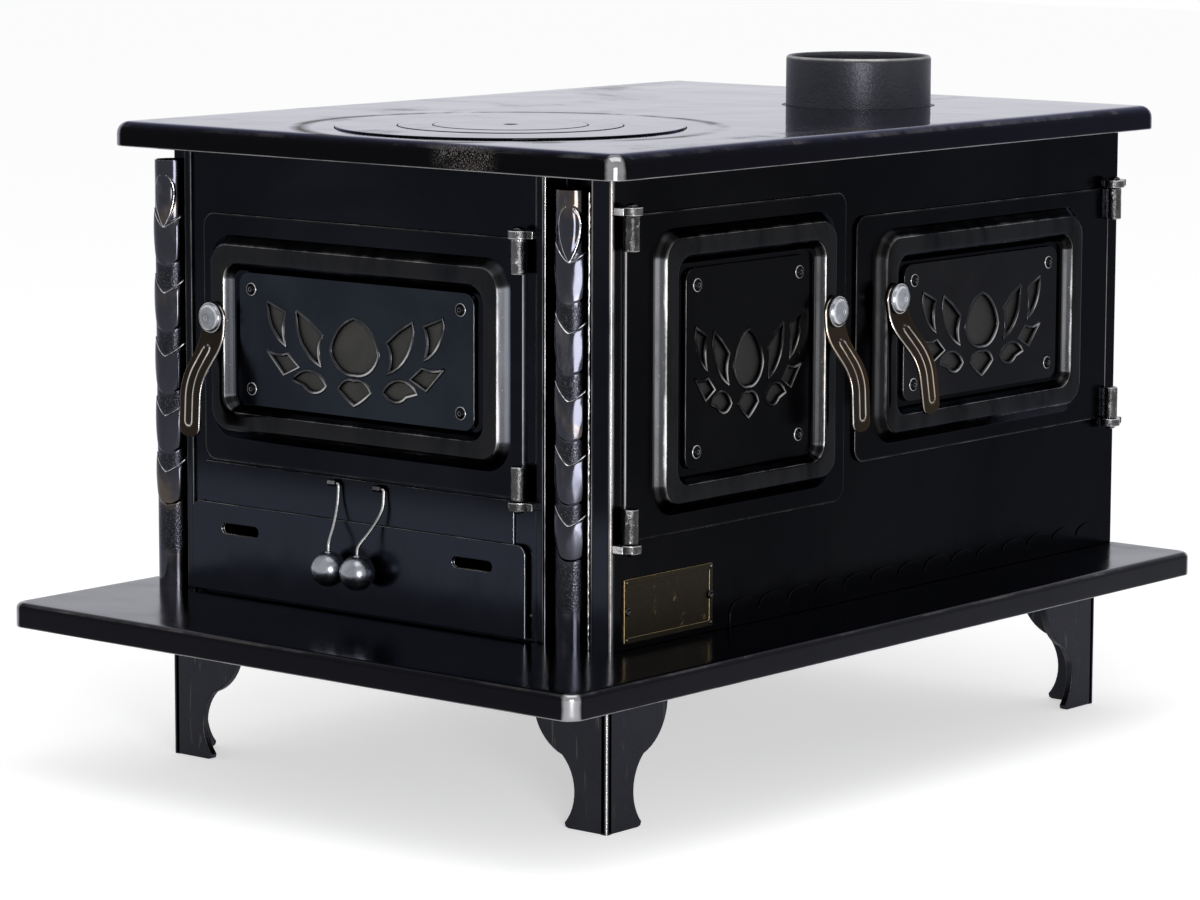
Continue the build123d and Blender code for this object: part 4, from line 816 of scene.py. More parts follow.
def door_leaf(spec):
    """Closed shell of a pressed leaf, in millimetres about the bead's middle."""
    u0, u1, v0, v1 = spec["leaf"]
    left_r, right_r = (HINGE_SIDE_R, FREE_SIDE_R) if spec["hinge"] < 0 else (FREE_SIDE_R, HINGE_SIDE_R)
    hinge_edge = u1 if spec["hinge"] > 0 else u0
    half_w, half_h = spec["bead"][0] / 2, spec["bead"][1] / 2
    loops, wear = [], []

    def sheet(inset, w, worn):
        loop = rect_loop(u0 + inset, u1 - inset, v0 + inset, v1 - inset,
                         [max(r - inset, 1.0) for r in (left_r, right_r, right_r, left_r)], w)
        loops.append(loop)
        wear.append([HINGE_EDGE_WEAR if worn and abs(u - hinge_edge) < 2 else worn for u, _, _ in loop])

    def bead(inset, w, worn):
        loops.append(around(0, 0, half_w - inset, half_h - inset, bead_radius(max(inset, 0)), w))
        wear.append(worn)

    section = bead_section()
    for inset, height, _ in reversed(section):
        bead(inset + (1.6 if 0 < inset < 18 else -1.6 if 18 < inset < 36 else 0), LEAF_LOW + height, 0)
    for inset, w, worn in ((1.0, LEAF_LOW, 0), (0.0, LEAF_LOW + 0.4, 0.2), (0.0, LEAF_FACE - 0.9, 0.66),
                           (0.35, LEAF_FACE - 0.25, 0.88), (1.1, LEAF_FACE, 0.2), (2.2, LEAF_FACE, 0)):
        sheet(inset, w, worn)
    for inset, height, worn in section:
        bead(inset, LEAF_FACE + height, worn)
    return loft(loops, wear)


for name, spec in DOORS.items():
    spec["matrix"] = face_matrix(spec["face"], *spec["at"])
    leaf = piece(f"{name}_pressed_leaf", door_leaf(spec), name, spec["steel"], [f"{name}_leaf"], spec["matrix"])
    gap = max((Vector(corner) - Vector(cad)).length
              for corner, cad in zip((leaf.bound_box[0], leaf.bound_box[6]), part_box(f"{name}_leaf")))
    print(name, "leaf corners are", round(gap * 1000, 1), "mm from the CAD leaf's box corners")

# %% [markdown]
# ## Pierced decor plates
# A flat plate with ten petal-shaped holes is screwed into each recess, over a thin backing sheet. The cutting die
# rolled the rim of every petal over and inwards. So the plate is filled between its outline and the petals, and a
# round bead follows each petal. The bead's wear is raised on its crown, and raised more on the side that faces
# the light: a painted highlight for the bright line each rim shows there.

# %% Petals
PETAL_HALF = (113.0, 53.0)
BUD_SIDE = arc((0, 30), (22, 16), (31, -3)) + arc((31, -3), (20, -19), (0, -24))
LOW_SIDE = arc((0, -29), (14, -31), (21, -39)) + arc((21, -39), (12, -46), (0, -53))
SIDE_PETALS = [
    [(74, 32), (57, 22.5)] + arc((41, 10), (46, -5), (42, -19)) + arc((42, -19), (66, -2), (74, 32)),
    [(112, 38)] + arc((88, 29), (92, 12), (88, -3)) + arc((88, -3), (105, 11), (112, 38)),
    arc((113, -9), (99, -12), (86, -10)) + [(86, -10), (71, -22), (91, -31)],
    arc((80, -35), (58, -24), (36, -37)) + arc((36, -37), (52, -45), (66, -39)) + [(66, -39)],
]
DECOR_LOW, DECOR_TOP, DECOR_CORNER_R = 4.8, 7.3, 12.0
RIM_R, RIM_RISE, RIM_SIDES = 2.1, 1.2, 14
# The last two numbers paint a highlight into the rims' wear, on the side that faces the light.
RIM_WEAR, CROWN_GAIN, PAINTED_HIGHLIGHT_GAIN, PAINTED_HIGHLIGHT_TURN = 0.50, 0.16, 0.60, 0.6


def mirrored(outline):
    return [(-u, v) for u, v in reversed(outline)]


def petals(width, height):
    """All petal outlines, in millimetres about the plate's middle."""
    whole = [side + [(0, side_end)] + mirrored(side[1:]) for side, side_end in ((BUD_SIDE, -24), (LOW_SIDE, -53))]
    return [clockwise([(u * width / PETAL_HALF[0], v * height / PETAL_HALF[1]) for u, v in outline])
            for outline in whole + SIDE_PETALS + [mirrored(outline) for outline in SIDE_PETALS]]


def tube_loops(path, radius, sides, closed=True):
    """Circles round a path of 3D points."""
    loops, last = [], len(path) - 1
    for k, spot in enumerate(path):
        before = Vector(path[k - 1]) if closed or k else Vector(spot)
        after = Vector(path[(k + 1) % len(path)]) if closed or k < last else Vector(spot)
        along = (after - before).normalized()
        side = along.cross(Vector((0, 0, 1)) if abs(along.z) < 0.9 else Vector((0, 1, 0))).normalized()
        up = side.cross(along)
        loops.append([tuple(Vector(spot) + radius * (math.cos(t) * side + math.sin(t) * up))
                      for t in [2 * math.pi * j / sides for j in range(sides)]])
    return loops + loops[:1] if closed else loops


def rolled_rim(outline):
    """A round bead along a petal: wear raised on its crown, and a painted highlight added where that faces the light.
    """
    centre_u, centre_v = (sum(p[axis] for p in outline) / len(outline) for axis in (0, 1))
    loops = tube_loops([(u, v, DECOR_TOP - RIM_R + RIM_RISE) for u, v in outline], RIM_R, RIM_SIDES)
    wear = []
    for loop in loops:
        crowns = [max(0.0, math.sin(2 * math.pi * j / RIM_SIDES)) ** 6 for j in range(RIM_SIDES)]
        # painted highlight: extra wear where the rim faces the light
        painted_highlight = [max(0.0, math.cos(math.atan2(v - centre_v, u - centre_u) + PAINTED_HIGHLIGHT_TURN)) ** 2 for u, v, _ in loop]
        wear.append([RIM_WEAR + CROWN_GAIN * crown + PAINTED_HIGHLIGHT_GAIN * light * crown
                     for crown, light in zip(crowns, painted_highlight)])
    return loft(loops, wear, caps=False)


for name, spec in DOORS.items():
    outlines = petals(*spec["flower"])
    half_w, half_h = spec["decor"][0] / 2, spec["decor"][1] / 2
    sheet = plate([around(0, 0, half_w, half_h, DECOR_CORNER_R)] + outlines, DECOR_LOW, DECOR_TOP, 0.6)
    piece(f"{name}_pierced_plate", [dimmed(sheet, 0.75)] + [rolled_rim(outline) for outline in outlines],
          name, spec["plate"], [f"{name}_decor_plate"], spec["matrix"])
print("petals in each plate:", len(outlines))

# %% [markdown]
# ## Screws, hinges and knobs
# All of these are turned, so they share the lathe. A screw is a low dome with a socket. A hinge is a barrel welded
# to the leaf between eyes welded to the body, and hand welding leaves the metal lumpy, so its radius gets a small
# seeded noise. The knob is a domed button with a spot in the middle where the lathe's centre stood.

# %% Screws
SCREW_INSET = 16.0
SCREW = [(0.02, 8.6, 0), (1.5, 8.6, 0), (1.6, 9.7, 1.2), (2.1, 9.9, 0.2), (3.6, 9.6, 0), (4.3, 8.9, 0.1),
         (4.5, 8.3, 0), (5.4, 8.15, 0), (5.9, 8.2, 1.2), (6.4, 7.9, 1.0), (6.6, 7.3, 0.0), (2.0, 7.3, 0),
         (2.0, 0.3, 0)]
for name, spec in DOORS.items():
    u, v = (size / 2 - SCREW_INSET for size in spec["decor"])
    screws = [lathe(SCREW, 20, Matrix.Translation((su * u, sv * v, 0))) for su in (-1, 1) for sv in (-1, 1)]
    piece(f"{name}_plate_screws", screws, name, dark_fasteners, [f"{name}_decor_screws"], spec["matrix"], 50)
print("plate screws:", 4 * len(DOORS))

# %% Hinges
AXIS_OUT, BARREL_LONG, PIN_LONG = 10.3, 32.0, 37.0
UPRIGHT = Matrix(((1, 0, 0, 0), (0, 0, 1, 0), (0, -1, 0, 0), (0, 0, 0, 1)))
EYE = [(4.02, 0.0, 0), (8.6, 0.0, 0.2), (9.7, 0.4, 0.8), (10.0, 1.3, 0.5), (10.0, 6.7, 0.5), (9.7, 7.6, 1.0),
       (8.8, 8.0, 0.7), (7.6, 8.0, 0.1), (4.02, 8.0, 0)]
PIN_HEAD = [(0.02, 3.0, 0.3), (2.4, 2.95, 0.5), (4.6, 2.2, 0.8), (5.2, 1.0, 0.6), (5.2, 0.0, 0.2), (4.0, 0.0, 0)]


def slab(u0, u1, v0, v1, w0, w1, edge=0.6):
    """A block with rounded edges; the edges carry wear."""
    levels = [(2 * edge, w0, 0), (edge * 0.3, w0, 0.3), (0, w0 + edge, 0.8), (0, w1 - edge, 0.8),
              (edge * 0.3, w1 - edge * 0.3, 1.0), (edge, w1, 0.5), (2.5 * edge, w1, 0)]
    return loft([rect_loop(u0 + inset, u1 - inset, v0 + inset, v1 - inset, edge, w, 3) for inset, w, _ in levels],
                [worn for _, _, worn in levels])


def lumpy(shape, amount, scale, seed):
    """Moves points a little, the way a weld bead leaves a surface."""
    shift = Vector((seed * 13.7, 0, 0))
    return ([tuple(Vector(p) + amount * noise.noise_vector(Vector(p) * scale + shift)) for p in shape[0]],
            shape[1], shape[2])


def barrel(u, v0, v1, seed):
    levels = 14
    profile = [(6.2, v0, 0.4), (6.9, v0 + 0.6, 0.9)]
    profile += [(7.0, v0 + 1.5 + (v1 - v0 - 3) * k / levels, 0.25) for k in range(levels + 1)]
    profile += [(6.9, v1 - 0.6, 0.9), (6.2, v1, 0.4)]
    return lumpy(lathe(profile, 28, Matrix.Translation((u, 0, AXIS_OUT)) @ UPRIGHT), 0.28, 0.22, seed)


for seed, (name, spec) in enumerate(DOORS.items()):
    u0, u1, v0, v1 = spec["leaf"]
    u = u1 if spec["hinge"] > 0 else u0
    weld = sorted((u, u - 6.0 * spec["hinge"]))
    arm = sorted((u + math.copysign(8.0, spec["arm"]), u + spec["arm"]))
    barrels, eyes, pins = [], [], []
    for low, high in ((v0, v0 + BARREL_LONG), (v1 - BARREL_LONG, v1)):
        barrels += [barrel(u, low, high, seed), slab(*weld, low + 0.8, high - 0.8, LEAF_FACE, AXIS_OUT - 2)]
    for foot, way in ((v1 + 0.5, 1), (v0 - 8.5, -1)):
        eyes += [lathe(EYE + EYE[:1], 36, Matrix.Translation((u, foot, AXIS_OUT)) @ UPRIGHT),
                 lumpy(slab(*arm, foot + 0.5, foot + 7.5, 0.05, AXIS_OUT + 1.5), 0.3, 0.2, seed + 5),
                 slab(u - 5.8, u + 5.8, foot + 0.4, foot + 7.6, 0.02, AXIS_OUT - 3)]
        pin = [(r, way * h, w) for r, h, w in PIN_HEAD] + [(4.0, -way * PIN_LONG, 0), (0.02, -way * PIN_LONG, 0)]
        head = foot + (8.0 if way > 0 else 0.0)
        pins.append(lathe(pin, 24, Matrix.Translation((u, head, AXIS_OUT)) @ UPRIGHT))
    for kind, shapes, body, finish in (("barrels", barrels, name, barrel_steel), ("eyes", eyes, "stove", barrel_steel),
                                       ("pins", pins, "stove", dark_fasteners)):
        piece(f"{name}_welded_hinge_{kind}", shapes, body, finish, [f"{name}_hinge_{kind}"], spec["matrix"], 45)
print("hinges: two on each of", len(DOORS), "doors")

# %% [markdown]
# ## Latches
# A latch is a strip of steel, bent twice so the grip stands clear of the hot door, with a long slot embossed down
# the grip. As the strip is the same width all along, its section is swept down the bent line, and the emboss is
# height added where a point is near the slot's outline.

# %% Knob and lever
LEVER_BACK, LEVER_THICK, LEVER_HALF, LEVER_DROP, LEVER_OUT, LEVER_TIP_R = 15.8, 4.0, 15.0, 98.0, 28.0, 9.0
RIB_FROM, RIB_TO, RIB_RUN, RIB_RISE = -34.0, -98.0, 4.6, 1.25
KNOB = [(0.02, 29.0, 0), (1.0, 29.1, 0), (1.6, 29.7, 0.9), (4.6, 29.3, 0.1), (8.4, 28.0, 0.2), (11.6, 26.1, 0.9),
        (13.2, 24.4, 0.2), (13.6, 23.6, 0), (14.5, 23.3, 1.0), (14.8, 22.4, 0.8), (14.8, 20.7, 0.2),
        (14.4, 19.9, 0), (13.0, 19.8, 0), (5.0, 19.8, 0)]
HALF_ACROSS = (0.12, 0.22, 0.29, 0.35, 0.42, 0.5, 0.7, 0.88, 0.955, 1.0)
ACROSS = [-share for share in reversed(HALF_ACROSS)] + [0.0, *HALF_ACROSS]


def smooth_step(low, high, value):
    t = min(max((value - low) / (high - low), 0.0), 1.0)
    return t * t * (3 - 2 * t)


def lever_line():
    """(height along the door, height out of it) samples down the lever's back."""
    line = soften([(LEVER_HALF, LEVER_BACK, 0), (-24.0, LEVER_BACK, 0), (-60.0, LEVER_BACK + LEVER_OUT, 0),
                   (-LEVER_DROP - LEVER_HALF, LEVER_BACK + LEVER_OUT, 0)], 16.0, 10)
    dense = []
    for (v, w, _), (v2, w2, _) in zip(line, line[1:]):
        steps = max(1, int(math.hypot(v2 - v, w2 - w) / 1.7))
        dense += [(v + (v2 - v) * k / steps, w + (w2 - w) * k / steps) for k in range(steps)]
    return dense + [line[-1][:2]]


def half_width(v):
    """Half the strip's width at a height along the door: round at the top, rounded corners at the grip."""
    if v > 0:
        return math.sqrt(max(LEVER_HALF ** 2 - v ** 2, 1.4))
    past = max(-LEVER_DROP - LEVER_HALF - v + LEVER_TIP_R, 0.0)
    narrow = 1.6 * smooth_step(-20.0, -70.0, v)
    return LEVER_HALF - narrow - LEVER_TIP_R + math.sqrt(max(LEVER_TIP_R ** 2 - past ** 2, 1.4))


def lever_shape(tilt):
    loops, wear = [], []
    line = lever_line()
    for k, (v, w) in enumerate(line):
        before, after = line[max(k - 1, 0)], line[min(k + 1, len(line) - 1)]
        run, rise = before[0] - after[0], after[1] - before[1]
        normal_v, normal_w = rise / math.hypot(run, rise), run / math.hypot(run, rise)
        half = half_width(v)
        section = []
        for share in ACROSS:
            away = math.hypot(share * half, v - min(max(v, RIB_TO), RIB_FROM))
            rib = smooth_step(0, 1, 1 - abs(away - RIB_RUN) / 1.7) if v < RIB_FROM + 7 else 0.0
            edge = max(0.0, (abs(share) - 0.88) / 0.12)
            section.append((share, LEVER_THICK + RIB_RISE * rib - 1.3 * edge ** 2,
                            max(0.9 * rib, 0.95 * edge if edge < 1 else 0.7)))
        section += [(1.0, 0.9, 0.5), (0.6, 0.0, 0), (0.0, 0.0, 0), (-0.6, 0.0, 0), (-1.0, 0.9, 0.5)]
        loops.append([(share * half, v + normal_v * lift, w + normal_w * lift) for share, lift, _ in section])
        wear.append([worn for _, _, worn in section])
    return moved(loft(loops, wear), Matrix.Rotation(math.radians(tilt), 4, "Z"))


for name, spec in DOORS.items():
    at = Matrix.Translation((-spec["hinge"] * (spec["bead"][0] / 2 - spec["latch_in"]), spec["latch_dv"], 0))
    piece(f"{name}_bent_lever", lever_shape(spec["tilt"]), f"{name}_latch", bronzed_strip,
          [f"{name}_latch_lever"], spec["matrix"] @ at)
    axis, skin = (0, BODY_LEFT) if spec["face"] == "end" else (1, BODY_FRONT)
    depth = min(abs(corner[axis]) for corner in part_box(f"{name}_latch_knob")) / MM - abs(skin)
    shaft = [(5.0, depth + 0.3, 0), (4.6, depth, 0), (0.02, depth, 0)]
    piece(f"{name}_turned_knob", lathe(KNOB + shaft, 56, at), f"{name}_latch", turned_aluminium,
          [f"{name}_latch_knob"], spec["matrix"], 30)
    print(name, "shaft reaches", round(depth, 1), "mm behind the face")

# %% [markdown]
# ## Corner posts
# The posts are pressed tubes with leaves wrapped round them: a bud at the top, then five slanting leaves, polished
# and crowned, with knurled gaps between them. The relief is only a millimetre, so it is a height added to the
# tube's radius. Each row of the grid bends with the leaf's edge, so an edge lies on a row and stays crisp.

# %% Leaf edges
POST_R, POST_TOP, POST_TURNS = 17.0, 590.0, 144
LEAVES = ((525.2, 487.8), (461.0, 423.0), (399.0, 362.0), (340.5, 303.5), (285.0, 252.0))
BUD_TOP, BUD_LENGTH, BUD_HALF, BUD_WIDEST = POST_TOP - 13.8, 51.0, 11.0, 0.34


def upper_rise(turn):
    """How far a leaf's upper edge climbs, a number of degrees round from its tip."""
    slope, soft = (0.215, 2.5) if turn > 0 else (0.36, 3.5)
    return min(math.hypot(slope * turn, soft) - soft, 17.0)


def lower_rise(turn):
    """The same for its lower end, which is rounder."""
    share = min(abs(turn) / (70.0 if turn > 0 else 50.0), 1.0)
    return 14.0 * (1 - (1 - share * share) ** 0.6)


def post_rows():
    """(height at the tip, share of the upper edge, share of the lower end, mm below a leaf's edge, its length)"""
    rows = [(z, 0, 0, -99.0, 38.0) for z in (POST_TOP, POST_TOP - 0.8, POST_TOP - 2.0)]
    first, top = LEAVES[0][0] + 3.6, BUD_TOP + 3.0
    rows += [(top + (first - top) * k / 38, smooth_step(0, 1, k / 38), 0, -99.0, 38.0) for k in range(39)]
    for number, (nose, end) in enumerate(LEAVES):
        length = nose - end
        rows += [(nose - x, 1, 0, x, length) for x in (-3.0, -2.2, -1.6, -1.1, -0.55, 0, 0.55, 1.1, 1.8, 2.8)]
        for k in range(1, 9):
            x = 2.8 + (length - 5.6) * k / 9
            rows.append((nose - x, 1 - k / 9, k / 9, x, length))
        rows += [(end - x, 0, 1, length + x, length) for x in (-2.8, -1.9, -1.1, -0.5, 0.1, 0.7, 1.4)]
        is_last = number == len(LEAVES) - 1
        after, next_edge = (end - 48.0, 0) if is_last else (LEAVES[number + 1][0] + 3.0, 1)
        for k in range(1, 7):
            z = end - 1.4 + (after - end + 1.4) * k / 7
            rows.append((z, next_edge * k / 7, 1 - k / 7, nose - z, length))
    return rows + [(z, 0, 0, 199.0, 38.0) for z in (204.0, HEARTH_TOP + 8, HEARTH_TOP + 3, HEARTH_TOP)]


print("rows up a post:", len(post_rows()))


# %% Post relief
def bud_share(t):
    """Width of the bud down its length: round above, drawn to a point below."""
    if t < BUD_WIDEST:
        return math.sqrt(max(1 - ((t - BUD_WIDEST) / BUD_WIDEST) ** 2, 0.0))
    return max(math.cos(math.pi * 0.5 * (t - BUD_WIDEST) / (1 - BUD_WIDEST)), 0.0) ** 0.85


def leaf_relief(x, length, turn):
    """Height over the tube, wear and knurl at a distance below a leaf's upper edge."""
    ridge = math.exp(-(x / 0.8) ** 2)
    groove = math.exp(-((x + 1.9) / 0.9) ** 2)
    side = smooth_step(62, 54, turn) * smooth_step(-66, -56, turn)
    body = smooth_step(0.3, 3.0, x) * smooth_step(length + 0.4, length - 2.4, x) * side
    flat = POST_R / math.cos(math.radians(min(max(turn - 18, -24), 24) * 0.85)) - POST_R
    crown = math.sin(math.pi * min(max(x / length, 0), 1)) ** 0.5
    end_line = math.exp(-((x - length + 0.4) / 0.8) ** 2) * side
    knurl = 1 - smooth_step(-2.6, -1.8, x) * smooth_step(length + 2.0, length + 0.5, x)
    return (0.95 * ridge - 0.40 * groove + body * (0.35 + (0.2 + flat) * crown), 0.95 * ridge + 0.45 * end_line,
            knurl if -90 < x < 90 and -60 < turn < 80 else 0.0)


def post_relief(turn, z, x, length):
    height, worn, knurl = leaf_relief(x, length, turn)
    t = (BUD_TOP - z) / BUD_LENGTH
    half = BUD_HALF * bud_share(t) if 0 < t < 1 else -6.0
    gap = half - abs(math.radians(turn) * POST_R)
    bud = smooth_step(-0.6, 0.8, gap)
    rim = math.exp(-((gap - 0.2) / 0.8) ** 2)
    swell = 0.35 + 0.75 * smooth_step(0, 7, gap)
    return max(height, bud * swell + 0.75 * rim), max(worn, 0.95 * rim), knurl * (1 - bud)


# %% Two posts
POST_INSIDE = ((15.0, POST_TOP - 60, 0), (15.2, POST_TOP - 0.5, 0.3), (16.4, POST_TOP, 0.7))


def post(x, y, facing):
    """Shape of a post and the knurl of its points, from the inside of its open top down the outside."""
    ring = [2 * math.pi * k / POST_TURNS for k in range(POST_TURNS)]
    loops = [[(x + r * math.cos(a), y + r * math.sin(a), z) for a in ring] for r, z, _ in POST_INSIDE]
    wear = [[worn] * POST_TURNS for _, _, worn in POST_INSIDE]
    knurl = [0.0] * (len(POST_INSIDE) * POST_TURNS)
    for tip, upper, lower, below, length in post_rows():
        loop, row_wear = [], []
        for angle in ring:
            turn = (math.degrees(angle - facing) + 180) % 360 - 180
            z = min(tip + upper * upper_rise(turn) + lower * lower_rise(turn), POST_TOP)
            height, worn, rough = post_relief(turn, z, below, length)
            fade = smooth_step(HEARTH_TOP + 1, HEARTH_TOP + 6, z) * smooth_step(POST_TOP + 0.1, POST_TOP - 1.5, z)
            uneven = 0.10 * noise.noise(Vector((angle * 2, z * 0.05, x)))
            r = POST_R + fade * height + uneven * fade
            loop.append((x + r * math.cos(angle), y + r * math.sin(angle), z))
            row_wear.append(fade * worn * (0.85 + 0.3 * noise.noise(Vector((angle * 9, z * 0.1, x)))))
            knurl.append(rough * fade)
        loops.append(loop)
        wear.append(row_wear)
    return loft(loops, wear), knurl


for side, y, facing in (("front", -203.5, 204.0), ("rear", 307.5, 194.0)):
    shape, knurl = post(-329.5, y, math.radians(facing))
    made = piece(f"leafy_post_{side}", shape, "stove", post_steel, [f"corner_post_{side}"], sharp=60, knurl=knurl)
    print(made.name, len(shape[1]), "faces")

# %% [markdown]
# ## Bent end panel and front panel
# The end panel is one sheet bent round two upright recesses for the posts. Seen from above it is a line with eight
# bends, so its recess walls are that line given thickness, rounded at the bends and raised to full height. The
# flat part with the door's and the drawer's mouths is a cut plate, and so is the front panel. Beside each recess a
# proud strip is let in, a weld bead runs up by each post, and three rivets hold the sheet to its frame.

# %% Bent walls
WALL_BEND_R, EASE, LONG_RUN = 2.0, 2.2, 8
END_FLAT = (-177.5, 278.5)
RECESS_X, RECESS_FRONT_Y = BODY_LEFT + 30, -231.0
WELD_R, WELD_PITCH, STRIP_WIDE, STRIP_PROUD = 0.85, 2.0, 9.0, 3.0
MOUTH_R = 24.0
PANEL_RIVET = [(0.02, 1.3, 0.9), (1.0, 1.2, 0.9), (1.9, 0.7, 0.4), (2.3, 0.0, 0.1)]
FRONT_RECESS = [(BODY_LEFT, -170.0, 0), (BODY_LEFT, END_FLAT[0], 0.85), (RECESS_X, END_FLAT[0], 0),
                (RECESS_X, RECESS_FRONT_Y, 0), (BODY_LEFT, RECESS_FRONT_Y, 0.8), (BODY_LEFT, BODY_FRONT, 0.9),
                (BODY_LEFT + 6, BODY_FRONT, 0.3)]
REAR_RECESS = [(RECESS_X, BODY_REAR, 0), (RECESS_X, END_FLAT[1], 0), (BODY_LEFT, END_FLAT[1], 0.8),
               (BODY_LEFT, 271.0, 0)]


def wall(path):
    """A bent sheet seen from above: both sides of the path (x, y, wear of the bend), rounded."""
    outer = soften(path, WALL_BEND_R)
    line = []
    for k, (x, y, worn) in enumerate(outer):
        px, py, _ = outer[k - 1]
        run = math.hypot(x - px, y - py)
        if k and run > LONG_RUN:
            ease_x, ease_y = (x - px) * EASE / run, (y - py) * EASE / run
            line += [(px + ease_x, py + ease_y, 0.0), (x - ease_x, y - ease_y, 0.0)]
        line.append((x, y, worn if 0 < k < len(outer) - 1 else 0.3))
    inner = []
    for k, (x, y, _) in enumerate(line):
        ax, ay, _ = line[max(k - 1, 0)]
        bx, by, _ = line[min(k + 1, len(line) - 1)]
        size = math.hypot(bx - ax, by - ay)
        inner.append((x - SHEET * (by - ay) / size, y + SHEET * (bx - ax) / size, 0.0))
    section = line + inner[::-1]
    heights = (HEARTH_TOP, HEARTH_TOP + 0.5, BODY_TOP - 0.5, BODY_TOP)
    return loft([[(x, y, z) for x, y, _ in section] for z in heights],
                [[worn for _, _, worn in section]] * len(heights))


def door_mouth(name):
    spec = DOORS[name]
    return clockwise(around(*spec["at"], *spec["mouth"], MOUTH_R))


ash_mouth = clockwise(rect_loop(-255.5, 145.5, 172.6, 252.0, 1.0, steps=2))
panel_edge = rect_loop(1.0 - END_FLAT[1], -END_FLAT[0] - 1.0, HEARTH_TOP, BODY_TOP, 0.6, steps=2)
panel = plate([panel_edge, door_mouth("fire_door"), ash_mouth], -SHEET, 0.0, 0.5)
shapes = [moved(dimmed(panel, 0.5), END_FACE)]
shapes += [moved(wall(path), IN_METRES) for path in (FRONT_RECESS, REAR_RECESS)]
for y in (END_FLAT[0], 269.5):
    strip = slab(-y - STRIP_WIDE, -y, HEARTH_TOP + 0.2, BODY_TOP - 0.2, 0.0, STRIP_PROUD, 1.1)
    shapes.append(moved(strip, END_FACE))
for y in (-229.6, 277.4):
    path = [(BODY_LEFT - 0.2, y, HEARTH_TOP + 1.0 + WELD_PITCH * k)
            for k in range(int((POST_TOP - HEARTH_TOP) / WELD_PITCH))]
    weld = loft(tube_loops(path, WELD_R, 10, closed=False), [1.0] * len(path))
    shapes.append(moved(lumpy(weld, 0.45, 0.45, 3 + y), IN_METRES))
for u, v in ((161.0, 604.0), (-266.0, 604.0), (161.0, 196.0)):
    shapes.append(lathe(PANEL_RIVET, 16, face_matrix("end", u, v)))
end_panel = piece("bent_end_panel", shapes, "stove", end_steel, ["end_panel"], Matrix.Identity(4))
print("end panel:", len(end_panel.data.polygons), "faces")

# %% Front panel
panel_edge = rect_loop(BODY_LEFT + 4.6, BODY_RIGHT, HEARTH_TOP, BODY_TOP, 1.0, steps=2)
panel = plate([panel_edge, door_mouth("side_door"), door_mouth("oven_door")], -SHEET, 0.0, 1.0)
piece("cut_front_panel", panel, "stove", black_steel, ["front_panel"], FRONT_FACE)
print("front panel:", len(panel[1]), "faces")

# %% [markdown]
# ## Ash drawer
# The drawer is a folded tray behind a tall front, and a plate with two air slots covers the lower part of that
# front. Each part is a thin rounded slab or a cut plate, so daylight shows through the slots as on the real one.

# %% Drawer
DRAWER_U, SLOT_V, SLOT_SHIFT, SLOT_WIDE, SLOT_HIGH = -55.0, 237.0, 149.0, 49.0, 10.0
TRAY_X, TRAY_Y, TRAY_Z, TRAY_SHEET = (-338.5, -49.8), (-142.5, 252.5), (178.3, 248.3), 3.0
PULLS = {"left": (81.0, 70.5), "right": (23.0, 33.5)}
PULL_EYE_X, PULL_EYE_Z, EYE_LONG = -346.0, 296.0, 10.0
EYE_RING = [(1.56, 0.0, 0), (2.6, 0.0, 0.4), (3.2, 0.7, 0.8), (3.2, 9.3, 0.8), (2.6, 10.0, 0.4), (1.56, 10.0, 0),
            (1.56, 0.0, 0)]


def slot_outline(u, v, width, height, steps=10):
    r = height / 2
    turns = [-math.pi / 2 + math.pi * k / steps for k in range(steps + 1)]
    return clockwise([(u + way * (width / 2 - r + r * math.cos(t)), v + way * r * math.sin(t))
                      for way in (1, -1) for t in turns])


slots = [slot_outline(DRAWER_U + way * SLOT_SHIFT, SLOT_V, SLOT_WIDE, SLOT_HIGH) for way in (-1, 1)]
tall = plate([rect_loop(DRAWER_U - 197.5, DRAWER_U + 197.5, 174.0, 301.0, 1.2, steps=2)] + slots, 0.3, 3.3, 0.7)
side_z = (181.0, TRAY_Z[1])
shapes = [moved(tall, END_FACE)]
for x_span, y_span, z_span in ((TRAY_X, TRAY_Y, (TRAY_Z[0], TRAY_Z[0] + TRAY_SHEET)),
                               (TRAY_X, (TRAY_Y[0], TRAY_Y[0] + TRAY_SHEET), side_z),
                               (TRAY_X, (TRAY_Y[1] - TRAY_SHEET, TRAY_Y[1]), side_z),
                               ((TRAY_X[1] - TRAY_SHEET, TRAY_X[1]), (-139.5, 249.5), side_z)):
    shapes.append(moved(slab(*x_span, *y_span, *z_span, 0.4), IN_METRES))
for eye_y, _ in PULLS.values():
    along_y = Matrix(((1, 0, 0, PULL_EYE_X), (0, 0, 1, eye_y - EYE_LONG / 2), (0, 1, 0, PULL_EYE_Z), (0, 0, 0, 1)))
    foot = slab(-eye_y - 4.6, -eye_y + 4.6, 294.6, 297.4, 3.2, 5.0, 0.5)
    shapes += [lathe(EYE_RING, 20, IN_METRES @ along_y), moved(foot, END_FACE)]
piece("ash_drawer_tray", shapes, "ash_drawer", end_steel, ["ash_drawer"], Matrix.Identity(4))
cover = rect_loop(DRAWER_U - 213.5, DRAWER_U + 213.5, 174.0, 261.0, (1.2, 1.2, 10.0, 10.0))
piece("ash_drawer_slotted_plate", plate([cover] + slots, 3.3, 6.3, 0.9), "ash_drawer", end_steel,
      ["ash_drawer_front"], END_FACE)
print("drawer with", len(slots), "air slots")

# %% [markdown]
# ## The two pulls
# A bent wire turns in its eye and carries a polished ball. The wire is a smooth curve through its bends with a
# round bevel, turned into a mesh. The ball is turned, so it has a small neck where the wire goes in.

